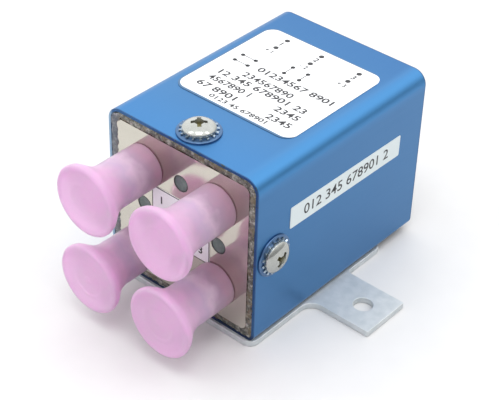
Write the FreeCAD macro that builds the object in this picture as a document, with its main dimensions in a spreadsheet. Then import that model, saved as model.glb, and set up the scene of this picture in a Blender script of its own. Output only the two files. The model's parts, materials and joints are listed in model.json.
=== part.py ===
import FreeCAD, Part
import math
import os
import Sketcher
from FreeCAD import Rotation, Vector
from types import SimpleNamespace

# Latching coaxial transfer switch: four coaxial jacks on the front of a machined body, four contact
# reeds in a square channel behind them, and a rocking armature with two coils in a drawn can.
# Frame: +Z up, the jacks face -Y. The origin is midway between the two ear holes, at the height of
# the bracket's underside.

# Driving dimensions, in millimetres and degrees.
dimensions = {
    # the can and the sealant behind its front edge
    "can_side": 33.5,
    "can_length": 45.4,
    "can_wall": 0.55,
    "can_top_radius": 2.7,
    "can_bottom_radius": 1.5,
    "can_back_radius": 0.4,
    "seal_depth": 1.6,
    # the bracket: a plate under the can with an ear on each side
    "plate_thick": 1.2,
    "plate_front": 0.5,
    "plate_length": 37.1,
    "plate_corner": 2.0,
    "ear_setback": 20.8,
    "ear_width": 10.6,
    "ear_reach": 29.4,
    "ear_hole_x": 24.35,
    "ear_hole_radius": 1.75,
    "ear_corner": 0.35,
    "ear_front_fillet": 2.5,
    "ear_back_fillet": 1.0,
    # clearances: between fixed pieces, and round pieces that slide or turn
    "slip": 0.05,
    "running": 0.04,
    # the body and the channel in its back
    "face_band": 1.85,
    "face_corner": 1.2,
    "body_depth": 9.0,
    "channel_depth": 2.4,
    "channel_gap": 0.9,
    "port_margin": 6.65,
    "guide_margin": 6.4,
    "plug_radius": 1.6,
    "plug_depth": 2.0,
    # the jacks
    "barrel_radius": 3.175,
    "barrel_length": 9.2,
    "thread_in_radius": 3.0,
    "thread_in_depth": 4.6,
    "shoulder_radius": 3.15,
    "shoulder_length": 0.9,
    "undercut_radius": 2.8,
    "undercut_length": 0.8,
    "mating_radius": 2.3,
    "mating_depth": 1.9,
    "insulator_radius": 2.05,
    "contact_radius": 0.635,
    "socket_radius": 0.47,
    "socket_depth": 2.4,
    "socket_slot": 0.16,
    "socket_slot_depth": 1.9,
    "anvil_radius": 1.1,
    "anvil_height": 0.8,
    # the dust caps
    "cap_gap": 0.25,
    "cap_end": 2.7,
    "cap_wall": 0.925,
    "cap_headroom": 2.4,
    "cap_rim": 0.2,
    "flange_radius": 6.55,
    "flange_edge": 0.9,
    "flare_length": 4.3,
    "flange_dish": 0.25,
    # cover screws and their washers
    "head_radius": 2.9,
    "head_height": 1.45,
    "shank_radius": 1.5,
    "screw_grip": 4.4,
    "washer_radius": 3.9,
    "washer_thick": 0.35,
    "lock_radius": 3.4,
    "lock_thick": 0.3,
    "recess_span": 3.0,
    "recess_width": 0.7,
    "recess_depth": 1.0,
    "cover_screw_depth": 4.4,
    # countersunk bracket screws, then the small screws inside
    "sink_screw_x": 9.0,
    "sink_head_radius": 2.3,
    "sink_shank_radius": 1.25,
    "sink_grip": 3.7,
    "sink_recess_depth": 0.75,
    "small_head_radius": 1.9,
    "small_head_height": 1.2,
    "small_shank_radius": 1.0,
    "small_grip": 2.8,
    "small_slot_width": 0.5,
    "drill_margin": 0.2,
    # reeds, rods and springs
    "reed_width": 2.4,
    "reed_thick": 0.4,
    "mitre_gap": 0.28,
    "travel": 1.2,
    "pin_radius": 0.6,
    "rod_radius": 1.0,
    "rod_head_radius": 1.8,
    "rod_head_height": 0.8,
    "rod_tip": 3.0,
    "rod_tip_chamfer": 0.15,
    "spigot_radius": 0.7,
    "spigot_length": 1.2,
    "spring_shut": 2.4,
    "spring_seat": 0.6,
    "spring_gap": 0.25,
    "spring_wire": 0.4,
    # the plate that closes the channel
    "cover_margin": 0.4,
    "cover_thick": 2.0,
    "cover_corner": 2.0,
    "cover_screw_edge": 2.6,
    # pusher bars
    "bar_thick": 1.5,
    "bar_half_width": 1.9,
    "bar_overlap": 1.8,
    "bar_gap": 0.5,
    "lug_width": 2.6,
    "lug_overlap": 1.1,
    "bridge_clearance": 0.4,
    # rocker and armature
    "arm_radius": 6.0,
    "finger_radius": 0.8,
    "finger_half_width": 1.6,
    "tine_margin": 0.2,
    "hub_radius": 2.25,
    "hub_side_gap": 0.3,
    "hub_clearance": 0.75,
    "pin_shaft_radius": 1.0,
    "pin_overhang": 0.3,
    "seat_rise": 0.15,
    "seat_half_width": 3.8,
    "armature_thick": 1.5,
    "armature_overlap": 1.0,
    "armature_half_height": 4.5,
    # the folded frame
    "frame_thick": 1.2,
    "frame_flange_half": 6.0,
    "web_margin": 0.5,
    "bend_radius": 0.4,
    "foot_x": 3.5,
    "foot_margin": 1.6,
    # coils, magnet and centre pole
    "core_radius": 2.5,
    "core_length": 10.5,
    "rivet_radius": 1.5,
    "pole_gap": 0.12,
    "core_inset": 0.35,
    "bobbin_radius": 5.5,
    "bobbin_wall": 0.55,
    "bobbin_flange": 0.7,
    "bobbin_start": 0.5,
    "winding_margin": 0.4,
    "magnet_half_width": 2.5,
    "magnet_half_height": 4.0,
    "magnet_length": 5.0,
    "centre_gap": 0.5,
    # circuit board, header and terminals
    "board_gap": 1.5,
    "board_thick": 1.2,
    "board_margin": 2.2,
    "board_half_height": 9.0,
    "board_corner": 1.0,
    "diode_radius": 0.6,
    "diode_length": 3.4,
    "diode_x": 8.0,
    "diode_z": 6.5,
    "terminal_offset_x": 8.0,
    "terminal_offset_z": 3.0,
    "header_thick": 1.4,
    "header_half_width": 11.5,
    "header_half_height": 6.0,
    "boss_radius": 1.5,
    "boss_proud": 0.5,
    "terminal_radius": 0.5,
    "terminal_length": 5.0,
    "collar_radius": 0.85,
    "collar_length": 0.5,
    # labels
    "label_thick": 0.1,
    "label_corner": 2.5,
    "top_label_width": 26.0,
    "top_label_length": 26.4,
    "top_label_start": 12.1,
    "top_label_shift": 0.45,
    "side_label_length": 30.2,
    "side_label_height": 4.25,
    "side_label_start": 8.4,
    "side_label_rise": 4.75,
    "side_label_tilt": 1.5,
    "side_label_corner": 0.25,
    "face_label_side_gap": 1.65,
    "face_label_end_gap": 3.1,
}

# Shapes that keep their proportions: a cover screw's head (straight side, flat top, crown), a lock
# washer's teeth (the root's radius and the places along a tooth) and a rocker finger's root and heel.
lock_teeth = 12
side_share = 0.35
flat_share = 0.55
crown_share = 0.7
tooth_root = 0.84
tooth_rise = 0.3
tooth_tip = 0.6
tooth_foot = 0.75
finger_root = 0.8
finger_heel = 0.5
# Lengths closer than this are the same.
hair = 0.001

doc = FreeCAD.newDocument("coaxial_transfer_switch")
sheet = doc.addObject("Spreadsheet::Sheet", "Sizes")


class Size:
    """A number together with the sheet expression that gives it."""

    def __init__(self, text, value):
        self.text = text
        self.value = value

    def __add__(self, other):
        other = as_size(other)
        return Size(f"({self.text} + {other.text})", self.value + other.value)

    def __sub__(self, other):
        other = as_size(other)
        return Size(f"({self.text} - {other.text})", self.value - other.value)

    def __mul__(self, other):
        other = as_size(other)
        return Size(f"({self.text} * {other.text})", self.value * other.value)

    def __truediv__(self, other):
        other = as_size(other)
        return Size(f"({self.text} / {other.text})", self.value / other.value)

    def __radd__(self, other):
        return as_size(other) + self

    def __rsub__(self, other):
        return as_size(other) - self

    def __rmul__(self, other):
        return as_size(other) * self

    def __neg__(self):
        return Size(f"(0 - {self.text})", -self.value)


def as_size(number):
    return number if isinstance(number, Size) else Size(repr(number), number)


ZERO = as_size(0)


def fill_sheet():
    """Writes the driving dimensions to the sheet and returns them as sizes, by name."""
    for row, (name, value) in enumerate(dimensions.items(), start=1):
        sheet.set(f"A{row}", name)
        sheet.set(f"B{row}", str(value))
        sheet.setAlias(f"B{row}", name)
    doc.recompute()
    sizes = {name: Size(f"Sizes.{name}", value) for name, value in dimensions.items()}
    return SimpleNamespace(**sizes)


d = fill_sheet()


# ---------------------------------------------------------------- helpers


def bind(thing, **sizes):
    for name, size in sizes.items():
        setattr(thing, name, size.value)
        thing.setExpression(name, size.text)


def place(thing, x=ZERO, y=ZERO, z=ZERO, turn=Rotation()):
    thing.Placement = FreeCAD.Placement(Vector(x.value, y.value, z.value), turn)
    for axis, size in zip("xyz", (x, y, z)):
        thing.setExpression(f"Placement.Base.{axis}", size.text)
    return thing


def new_body(label):
    body = doc.addObject("PartDesign::Body", label)
    body.Label = label
    return body


def line_to(x, y):
    return as_size(x), as_size(y), ZERO, 0


def arc_left(x, y, radius):
    """An arc that bends to the left on its way to (x, y)."""
    return as_size(x), as_size(y), as_size(radius), 1


def arc_right(x, y, radius):
    return as_size(x), as_size(y), as_size(radius), -1


def rounded(*corners):
    """A closed outline of level and upright edges from corners (x, y, radius)."""
    path = []
    for index, (x, y, radius) in enumerate(corners):
        before = corners[index - 1]
        after = corners[(index + 1) % len(corners)]
        if as_size(radius).value == 0:
            path.append(line_to(x, y))
            continue
        way_in = direction(before, (x, y))
        way_out = direction((x, y), after)
        path.append(line_to(x - way_in[0] * radius, y - way_in[1] * radius))
        bends_left = way_in[0] * way_out[1] - way_in[1] * way_out[0] > 0
        arc = arc_left if bends_left else arc_right
        path.append(arc(x + way_out[0] * radius, y + way_out[1] * radius, radius))
    return path


def sign(number):
    return 0 if abs(number) < hair else int(math.copysign(1, number))


def direction(start, finish):
    """The signs of the way from one corner to another."""
    return [sign(as_size(b).value - as_size(a).value) for a, b in zip(start, finish)]


def rectangle(half_width, half_height, radius=ZERO, y=ZERO):
    return rounded(
        (-half_width, y - half_height, radius),
        (half_width, y - half_height, radius),
        (half_width, y + half_height, radius),
        (-half_width, y + half_height, radius),
    )


def arc_centre(start, finish, radius, bend):
    chord = finish - start
    middle = (start + finish) * 0.5
    rise = math.sqrt(max(radius**2 - chord.Length**2 / 4, 0))
    left = Vector(-chord.y, chord.x, 0).normalize()
    return middle + left * rise * bend


class Drawing:
    """A sketch on one of a body's origin planes, every point of it bound to the sheet."""

    def __init__(self, body, plane, start=ZERO):
        self.sketch = body.newObject("Sketcher::SketchObject", f"{body.Name}_sketch")
        origin_plane = next(f for f in body.Origin.OriginFeatures if f.Role == plane)
        self.sketch.AttachmentSupport = [(origin_plane, "")]
        self.sketch.MapMode = "FlatFace"
        offset = -start if plane == "XZ_Plane" else start
        self.sketch.setExpression("AttachmentOffset.Base.z", offset.text)
        self.rules = []
        self.texts = []

    def rule(self, text, *constraint):
        self.rules.append(Sketcher.Constraint(*constraint))
        self.texts.append(text)

    def pin(self, geometry, point, x, y):
        for kind, axis, size in (("DistanceX", -2, x), ("DistanceY", -1, y)):
            if abs(size.value) < hair:
                self.rule(None, "PointOnObject", geometry, point, axis)
            else:
                self.rule(size.text, kind, geometry, point, size.value)

    def loop(self, path):
        ends = []
        for index, (x, y, radius, bend) in enumerate(path):
            previous = path[index - 1]
            start = Vector(previous[0].value, previous[1].value, 0)
            finish = Vector(x.value, y.value, 0)
            if bend == 0:
                shape = Part.LineSegment(start, finish)
                first, last = 1, 2
            else:
                centre = arc_centre(start, finish, radius.value, bend)
                circle = Part.Circle(centre, Vector(0, 0, 1), radius.value)
                near, far = (start, finish) if bend > 0 else (finish, start)
                span = circle.parameter(near), circle.parameter(far)
                shape = Part.ArcOfCircle(circle, *span)
                first, last = (1, 2) if bend > 0 else (2, 1)
            geometry = self.sketch.addGeometry(shape, False)
            ends.append((geometry, first, last))
            self.pin(geometry, last, x, y)
            if bend:
                self.rule(radius.text, "Radius", geometry, radius.value)
        for before, after in zip(ends, ends[1:] + ends[:1]):
            self.rule(None, "Coincident", before[0], before[2], after[0], after[1])

    def circle(self, x, y, radius):
        x, y = as_size(x), as_size(y)
        centre = Vector(x.value, y.value, 0)
        geometry = self.sketch.addGeometry(Part.Circle(centre, Vector(0, 0, 1), radius.value), False)
        self.pin(geometry, 3, x, y)
        self.rule(radius.text, "Radius", geometry, radius.value)

    def finish(self):
        self.sketch.addConstraint(self.rules)
        for index, text in enumerate(self.texts):
            if text:
                self.sketch.setExpression(f"Constraints[{index}]", text)
        return self.sketch


def draw(body, plane, start=ZERO, loops=(), circles=()):
    drawing = Drawing(body, plane, start)
    for path in loops:
        drawing.loop(path)
    for x, y, radius in circles:
        drawing.circle(x, y, radius)
    return drawing.finish()


def add(body, plane, start, length, loops=(), circles=()):
    """Pads a drawing from start towards the plane's positive world axis."""
    pad = body.newObject("PartDesign::Pad", f"{body.Name}_pad")
    pad.Profile = draw(body, plane, start, loops, circles)
    bind(pad, Length=as_size(length))
    pad.Reversed = plane == "XZ_Plane"
    return pad


def cut(body, plane, start, length, loops=(), circles=()):
    """Pockets a drawing from start towards the plane's positive world axis."""
    pocket = body.newObject("PartDesign::Pocket", f"{body.Name}_pocket")
    pocket.Profile = draw(body, plane, start, loops, circles)
    bind(pocket, Length=as_size(length))
    pocket.Reversed = plane != "XZ_Plane"
    return pocket


def turned(label, profile, plane="XY_Plane"):
    """A turned piece: the profile (radius, height) goes round the plane's upright axis."""
    body = new_body(label)
    sketch = draw(body, plane, loops=[profile])
    revolution = body.newObject("PartDesign::Revolution", f"{label}_turn")
    revolution.Profile = sketch
    revolution.ReferenceAxis = (sketch, ["V_Axis"])
    revolution.Angle = 360
    return body


def points(*pairs):
    return [line_to(x, y) for x, y in pairs]


def soften(body, radius, chosen, kind="PartDesign::Fillet"):
    """Rounds or chamfers the edges of the body so far that chosen accepts."""
    doc.recompute()
    base = body.Tip
    names = [f"Edge{i + 1}" for i, edge in enumerate(base.Shape.Edges) if chosen(edge)]
    feature = body.newObject(kind, f"{body.Name}_edges")
    feature.Base = (base, names)
    bind(feature, **{"Radius" if kind.endswith("Fillet") else "Size": radius})
    return feature


def group(label, pieces):
    compound = doc.addObject("Part::Compound", label)
    compound.Label = label
    compound.Links = pieces
    return compound


parts = []


def keep(*pieces):
    parts.extend(pieces)


# ---------------------------------------------------------------- planes that pieces share


front = -d.ear_setback
axis_height = d.plate_thick + d.can_side / 2
inner_half = d.can_side / 2 - d.can_wall
face_side = d.can_side - 2 * d.face_band
port_offset = face_side / 2 - d.port_margin
guide_offset = face_side / 2 - d.guide_margin
cover_half = inner_half - d.cover_margin
cover_screw_offset = cover_half - d.cover_screw_edge
foot_z = cover_half - d.foot_margin
frame_inner = foot_z - d.small_head_radius - d.bend_radius - d.frame_thick
board_half_width = inner_half - d.board_margin
core_x = (d.magnet_half_width + inner_half) / 2 - d.core_inset
PORTS = {1: (-1, 1), 2: (1, 1), 3: (1, -1), 4: (-1, -1)}
RODS = {"top": (0, 1), "right": (1, 0), "bottom": (0, -1), "left": (-1, 0)}


def depth(distance):
    """The y of a plane this far behind the front face."""
    return front + distance


def can_section(gap):
    """The can's cross-section, drawn in by gap all round, about the can's axis."""
    half = d.can_side / 2 - gap
    top = d.can_top_radius - gap
    bottom = d.can_bottom_radius - gap
    return rounded((-half, -half, bottom), (half, -half, bottom), (half, half, top), (-half, half, top))


def on_axis(piece, x=ZERO, y=ZERO, z=ZERO):
    """Places a piece whose local origin is on the can's axis in the plane of the front face."""
    return place(piece, as_size(x), front + y, axis_height + z)


# ---------------------------------------------------------------- fasteners


def cross(span, width):
    """The outline of a cross recess."""
    arm, half = span / 2, width / 2
    corners = [(arm, half), (half, half), (half, arm), (-half, arm), (-half, half), (-arm, half)]
    corners += [(-x, -y) for x, y in corners]
    return points(*corners)


def cover_screw(label, grip):
    """A pan-head screw along Z: its head stands on the two washers, its tip is at z = -grip."""
    seat = d.washer_thick + d.lock_thick
    top = seat + d.head_height
    profile = [
        line_to(ZERO, -grip),
        line_to(d.shank_radius, -grip),
        line_to(d.shank_radius, seat),
        line_to(d.head_radius, seat),
        line_to(d.head_radius, seat + d.head_height * side_share),
        arc_left(d.head_radius * flat_share, top, d.head_radius * crown_share),
        line_to(ZERO, top),
    ]
    body = turned(label, profile, "XZ_Plane")
    recess = cross(d.recess_span, d.recess_width)
    cut(body, "XY_Plane", top - d.recess_depth, d.recess_depth, [recess])
    return body


def lock_washer(label):
    """A flat ring with teeth round its outside."""
    root = d.lock_radius * tooth_root
    tooth = [(0, root), (tooth_rise, d.lock_radius), (tooth_tip, d.lock_radius), (tooth_foot, root)]
    corners = []
    for step in range(lock_teeth):
        for part_turn, reach in tooth:
            angle = 2 * math.pi * (step + part_turn) / lock_teeth
            corners.append((reach * math.cos(angle), reach * math.sin(angle)))
    body = new_body(label)
    hole = (ZERO, ZERO, d.shank_radius + d.slip)
    add(body, "XY_Plane", d.washer_thick, d.lock_thick, [points(*corners)], [hole])
    return body


def flat_washer(label):
    body = new_body(label)
    rings = [(ZERO, ZERO, d.washer_radius), (ZERO, ZERO, d.shank_radius + d.slip)]
    add(body, "XY_Plane", ZERO, d.washer_thick, circles=rings)
    return body


def cover_fasteners():
    """A screw with its two washers on the top and on both sides of the can."""
    outward = {
        "top": Rotation(),
        "right": Rotation(Vector(0, 1, 0), 90),
        "left": Rotation(Vector(0, 1, 0), -90),
    }
    sides = {"top": (0, 1), "right": (1, 0), "left": (-1, 0)}
    screws, locks, flats = [], [], []
    grip = d.can_wall + d.slip + d.screw_grip
    for name, (across, up) in sides.items():
        where = {
            "x": across * d.can_side / 2,
            "y": depth(d.cover_screw_depth),
            "z": axis_height + up * d.can_side / 2,
            "turn": outward[name],
        }
        screws.append(place(cover_screw(f"screw_{name}", grip), **where))
        locks.append(place(lock_washer(f"lock_washer_{name}"), **where))
        flats.append(place(flat_washer(f"flat_washer_{name}"), **where))
    keep(group("cover_screws", screws), group("lock_washers", locks), group("flat_washers", flats))


# ---------------------------------------------------------------- can and bracket


def terminal_places():
    spots = [(column, row) for column in (-1, 0, 1) for row in (-1, 1)]
    return [(column * d.terminal_offset_x, row * d.terminal_offset_z) for column, row in spots]


def cover_can():
    can = new_body("cover_can")
    add(can, "XZ_Plane", ZERO, d.can_length, [can_section(ZERO)])
    soften(can, d.can_back_radius, lambda edge: edge.BoundBox.YMin > d.can_length.value - hair)
    cut(can, "XZ_Plane", ZERO, d.can_length - d.can_wall, [can_section(d.can_wall)])
    hole = d.shank_radius + d.slip
    cut(can, "XY_Plane", ZERO, d.can_side, circles=[(ZERO, d.cover_screw_depth, hole)])
    cut(can, "YZ_Plane", -d.can_side, 2 * d.can_side, circles=[(d.cover_screw_depth, ZERO, hole)])
    sink_hole = d.sink_shank_radius + d.slip
    sinks = [(side * d.sink_screw_x, d.cover_screw_depth, sink_hole) for side in (-1, 1)]
    cut(can, "XY_Plane", -d.can_side, d.can_side, circles=sinks)
    bosses = [(x, z, d.boss_radius + d.slip) for x, z in terminal_places()]
    cut(can, "XZ_Plane", d.can_length / 2, d.can_length, circles=bosses)
    keep(on_axis(can))


def bracket():
    """A flat plate under the can with a screw ear on each side."""
    body = new_body("bracket")
    half = d.can_side / 2
    ear = d.ear_width / 2
    near = front - d.plate_front
    far = near + d.plate_length
    outline = rounded(
        (-half, near, d.plate_corner),
        (half, near, d.plate_corner),
        (half, -ear, d.ear_front_fillet),
        (d.ear_reach, -ear, d.ear_corner),
        (d.ear_reach, ear, d.ear_corner),
        (half, ear, d.ear_back_fillet),
        (half, far, d.plate_corner),
        (-half, far, d.plate_corner),
        (-half, ear, d.ear_back_fillet),
        (-d.ear_reach, ear, d.ear_corner),
        (-d.ear_reach, -ear, d.ear_corner),
        (-half, -ear, d.ear_front_fillet),
    )
    ears = [(side * d.ear_hole_x, ZERO, d.ear_hole_radius) for side in (-1, 1)]
    sink_hole = d.sink_shank_radius + d.slip
    sinks = [(side * d.sink_screw_x, depth(d.cover_screw_depth), sink_hole) for side in (-1, 1)]
    add(body, "XY_Plane", ZERO, d.plate_thick, [outline], ears + sinks)
    countersink = d.sink_head_radius - sink_hole
    soften(body, countersink, lambda edge: is_ring(edge, sink_hole, 0), "PartDesign::Chamfer")
    keep(place(body))


def is_ring(edge, radius, height):
    """True for a full circle of this radius at this height."""
    if not isinstance(edge.Curve, Part.Circle):
        return False
    same_radius = abs(edge.Curve.Radius - radius.value) < hair
    return same_radius and abs(edge.Curve.Center.z - height) < hair


def bracket_screws():
    """Countersunk screws up through the bracket and the can into the body."""
    screws = []
    for name, side in (("left", -1), ("right", 1)):
        tip = d.plate_thick + d.can_wall + d.slip + d.sink_grip
        cone = d.sink_head_radius - d.sink_shank_radius
        profile = points((ZERO, ZERO), (d.sink_head_radius - d.slip, ZERO),
                         (d.sink_shank_radius, cone - d.slip), (d.sink_shank_radius, tip), (ZERO, tip))
        screw = turned(f"bracket_screw_{name}", profile, "XZ_Plane")
        recess = cross(d.sink_head_radius, d.recess_width)
        cut(screw, "XY_Plane", ZERO, d.sink_recess_depth, [recess])
        screws.append(place(screw, side * d.sink_screw_x, depth(d.cover_screw_depth)))
    keep(group("bracket_screws", screws))


# ---------------------------------------------------------------- body and radio-frequency cavity


channel_floor = d.body_depth - d.channel_depth
contact_plane = channel_floor + d.anvil_height
cover_back = d.body_depth + d.cover_thick
channel_outer = guide_offset + d.reed_width / 2 + d.channel_gap
channel_inner = guide_offset - d.reed_width / 2 - d.channel_gap


def port_places(offset):
    return [(across * offset, up * offset) for across, up in PORTS.values()]


def guide_places():
    return [(across * guide_offset, up * guide_offset) for across, up in RODS.values()]


def at_each(places, radius):
    return [(x, z, radius) for x, z in places]


def foot_places():
    return [(across * d.foot_x, up * foot_z) for across in (-1, 1) for up in (-1, 1)]


def rf_body():
    block = new_body("rf_body")
    add(block, "XZ_Plane", d.seal_depth, d.body_depth - d.seal_depth, [can_section(d.can_wall + d.slip)])
    add(block, "XZ_Plane", ZERO, d.seal_depth, [rectangle(face_side / 2, face_side / 2, d.face_corner)])
    cut(block, "XZ_Plane", channel_floor, d.channel_depth,
        [rectangle(channel_outer, channel_outer, d.channel_gap), rectangle(channel_inner, channel_inner)])
    bores = (
        (d.thread_in_depth, port_places(port_offset), d.thread_in_radius),
        (d.body_depth, port_places(port_offset), d.insulator_radius),
        (d.plug_depth, guide_places(), d.plug_radius),
        (d.body_depth, guide_places(), d.pin_radius + d.running),
    )
    for deep, places, radius in bores:
        cut(block, "XZ_Plane", ZERO, deep, circles=at_each(places, radius))
    rear = [(across * cover_screw_offset, up * cover_screw_offset, d.small_shank_radius)
            for across, up in PORTS.values()]
    rear += at_each(foot_places(), d.small_shank_radius)
    cut(block, "XZ_Plane", d.body_depth - d.small_grip - d.drill_margin, d.body_depth, circles=rear)
    tapped = inner_half - d.slip - d.screw_grip - d.drill_margin
    top_hole = [(ZERO, d.cover_screw_depth, d.shank_radius)]
    side_hole = [(d.cover_screw_depth, ZERO, d.shank_radius)]
    cut(block, "XY_Plane", tapped, d.can_side, circles=top_hole)
    cut(block, "YZ_Plane", tapped, d.can_side, circles=side_hole)
    cut(block, "YZ_Plane", -tapped - d.can_side, d.can_side, circles=side_hole)
    sinks = [(side * d.sink_screw_x, d.cover_screw_depth, d.sink_shank_radius) for side in (-1, 1)]
    sink_end = -inner_half + d.slip + d.sink_grip + d.drill_margin
    cut(block, "XY_Plane", sink_end - d.can_side, d.can_side, circles=sinks)
    keep(on_axis(block))


def face_seal():
    """The bead of sealant in the rebate between the can and the body's face."""
    bead = new_body("face_seal")
    add(bead, "XZ_Plane", ZERO, d.seal_depth,
        [can_section(d.can_wall), rectangle(face_side / 2, face_side / 2, d.face_corner)])
    keep(on_axis(bead))


def cylinder_along_y(name, radius, length, x, y, z):
    rod = doc.addObject("Part::Cylinder", name)
    bind(rod, Radius=radius, Height=length)
    return place(rod, x, y, z, Rotation(Vector(1, 0, 0), -90))


def guide_plugs():
    plugs = [cylinder_along_y(f"guide_plug_{name}", d.plug_radius, d.plug_depth,
                              across * guide_offset, front, axis_height + up * guide_offset)
             for name, (across, up) in RODS.items()]
    keep(group("guide_plugs", plugs))


def jack(number, across, up):
    """One coaxial jack: shell, insulator and centre contact with a slotted socket."""
    place_at = {"x": across * port_offset, "z": up * port_offset}
    mouth = -d.barrel_length
    seat = mouth + d.mating_depth
    chamfer = d.barrel_radius - d.undercut_radius
    shell = turned(f"jack_shell_{number}", points(
        (d.insulator_radius, d.thread_in_depth), (d.insulator_radius, seat),
        (d.mating_radius, seat), (d.mating_radius, mouth),
        (d.barrel_radius - chamfer, mouth), (d.barrel_radius, mouth + chamfer),
        (d.barrel_radius, -d.shoulder_length - d.undercut_length),
        (d.undercut_radius, -d.shoulder_length - d.undercut_length),
        (d.undercut_radius, -d.shoulder_length), (d.shoulder_radius, -d.shoulder_length),
        (d.shoulder_radius, ZERO), (d.thread_in_radius, ZERO), (d.thread_in_radius, d.thread_in_depth),
    ))
    insulator = turned(f"jack_insulator_{number}", points(
        (d.contact_radius, channel_floor), (d.contact_radius, seat),
        (d.insulator_radius, seat), (d.insulator_radius, channel_floor),
    ))
    contact = turned(f"jack_contact_{number}", points(
        (ZERO, contact_plane), (ZERO, seat + d.socket_depth), (d.socket_radius, seat + d.socket_depth),
        (d.socket_radius, seat), (d.contact_radius, seat), (d.contact_radius, channel_floor),
        (d.anvil_radius, channel_floor), (d.anvil_radius, contact_plane),
    ))
    slots = [rectangle(d.insulator_radius, d.socket_slot / 2)]
    cut(contact, "XZ_Plane", seat, d.socket_slot_depth, slots)
    keep(*[on_axis(piece, **place_at) for piece in (shell, insulator, contact)])


def reed(name, across, up, lift):
    """A flat contact reed with mitred ends, drawn as the top one and turned to its side."""
    body = new_body(f"reed_{name}")
    inner, outer = guide_offset - d.reed_width / 2, guide_offset + d.reed_width / 2
    outline = points((-inner + d.mitre_gap, inner), (inner - d.mitre_gap, inner),
                     (outer - d.mitre_gap, outer), (-outer + d.mitre_gap, outer))
    add(body, "XZ_Plane", contact_plane, d.reed_thick, [outline], [(ZERO, guide_offset, d.pin_radius)])
    angle = math.degrees(math.atan2(across, up))
    place(body, ZERO, front + lift, axis_height, Rotation(Vector(0, 1, 0), angle))
    return body


def push_rod(name, across, up, lift):
    """A rod of low-loss plastic: guide pin, stem through the cover, head and spigot."""
    stem = d.reed_thick
    head = cover_back + d.spring_shut - contact_plane
    back = head + d.rod_head_height
    profile = points(
        (ZERO, -d.rod_tip), (d.pin_radius - d.rod_tip_chamfer, -d.rod_tip),
        (d.pin_radius, -d.rod_tip + d.rod_tip_chamfer),
        (d.pin_radius, stem), (d.rod_radius, stem), (d.rod_radius, head), (d.rod_head_radius, head),
        (d.rod_head_radius, back), (d.spigot_radius, back), (d.spigot_radius, back + d.spigot_length),
        (ZERO, back + d.spigot_length),
    )
    body = turned(f"push_rod_{name}", profile)
    return on_axis(body, across * guide_offset, contact_plane + lift, up * guide_offset)


def return_spring(name, across, up, lift):
    """The coil spring between the cover and the rod's head, as the sleeve that its wire fills."""
    length = d.spring_seat + d.spring_shut + lift
    inner = d.rod_radius + d.spring_gap
    outer = inner + d.spring_wire
    sleeve = turned(f"return_spring_{name}", points(
        (inner, ZERO), (outer, ZERO), (outer, length), (inner, length)))
    return on_axis(sleeve, across * guide_offset, cover_back - d.spring_seat, up * guide_offset)


def cavity_cover():
    plate = new_body("cavity_cover")
    holes = at_each(guide_places(), d.rod_radius + d.running)
    holes += at_each(port_places(cover_screw_offset), d.small_shank_radius + d.slip)
    holes += at_each(foot_places(), d.small_shank_radius + d.slip)
    outline = rectangle(cover_half, cover_half, d.cover_corner)
    add(plate, "XZ_Plane", d.body_depth, d.cover_thick, [outline], holes)
    cut(plate, "XZ_Plane", cover_back - d.spring_seat, d.spring_seat,
        circles=at_each(guide_places(), d.rod_head_radius + d.slip))
    keep(on_axis(plate))


def rear_screws(label, places, seat, grip):
    """Small slotted screws that point forwards, into the body."""
    screws = []
    for index, (x, z) in enumerate(places):
        screw = turned(f"{label}_{index + 1}", points(
            (ZERO, -grip), (d.small_shank_radius, -grip), (d.small_shank_radius, ZERO),
            (d.small_head_radius, ZERO), (d.small_head_radius, d.small_head_height),
            (ZERO, d.small_head_height)))
        slot = rectangle(d.small_head_radius + d.slip, d.small_slot_width / 2)
        cut(screw, "XZ_Plane", d.small_head_height / 2, d.small_head_height, [slot])
        screws.append(on_axis(screw, x, seat, z))
    keep(group(label, screws))


# ---------------------------------------------------------------- dust caps


def dust_cap(number, across, up):
    """A soft push-on cap: a sleeve over the barrel, flaring to a pull flange."""
    mouth = -d.cap_gap
    bore = d.barrel_radius + d.slip
    bore_end = -d.barrel_length - d.cap_headroom
    end = bore_end - d.cap_end
    cap_radius = bore + d.cap_wall
    spread = d.flange_radius - cap_radius
    flare_radius = (spread * spread + d.flare_length * d.flare_length) / (2 * spread)
    profile = [
        line_to(ZERO, bore_end),
        line_to(ZERO, end + d.flange_dish),
        line_to(d.flange_radius - d.cap_rim, end),
        line_to(d.flange_radius, end + d.cap_rim),
        line_to(d.flange_radius, end + d.flange_edge),
        arc_right(cap_radius, end + d.flange_edge + d.flare_length, flare_radius),
        line_to(cap_radius, mouth - d.cap_rim),
        line_to(cap_radius - d.cap_rim, mouth),
        line_to(bore, mouth),
        line_to(bore, bore_end),
    ]
    cap = turned(f"dust_cap_{number}", profile)
    keep(on_axis(cap, across * port_offset, ZERO, up * port_offset))


# ---------------------------------------------------------------- actuator


head_shut = cover_back + d.spring_shut + d.rod_head_height
bar_a_back = head_shut + d.bar_thick
bridge_underside = bar_a_back + 2 * d.travel + d.bridge_clearance
bar_b_back = bridge_underside + d.bar_thick
pivot = bar_b_back + d.hub_radius + d.hub_clearance
bar_end = guide_offset + d.bar_overlap
armature_seat = d.hub_radius + d.seat_rise
armature_half_length = core_x + d.core_radius + d.armature_overlap
hub_half_length = frame_inner - d.hub_side_gap
lug_start = d.bar_half_width + d.bar_gap
lug_end = lug_start + d.lug_width
lug_reach = d.arm_radius + d.finger_radius + d.lug_overlap
tine_inner = lug_start + d.tine_margin
tine_outer = lug_end - d.tine_margin
web_half_width = core_x + d.bobbin_radius + d.web_margin
bobbin_tube_radius = d.core_radius + d.slip + d.bobbin_wall
winding_radius = d.bobbin_radius - d.winding_margin
tilt = d.travel / d.arm_radius / 2
tilt_degrees = tilt * math.degrees(1)
pole_face = pivot + armature_seat + d.armature_thick + (core_x + d.core_radius) * tilt + d.pole_gap
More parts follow.
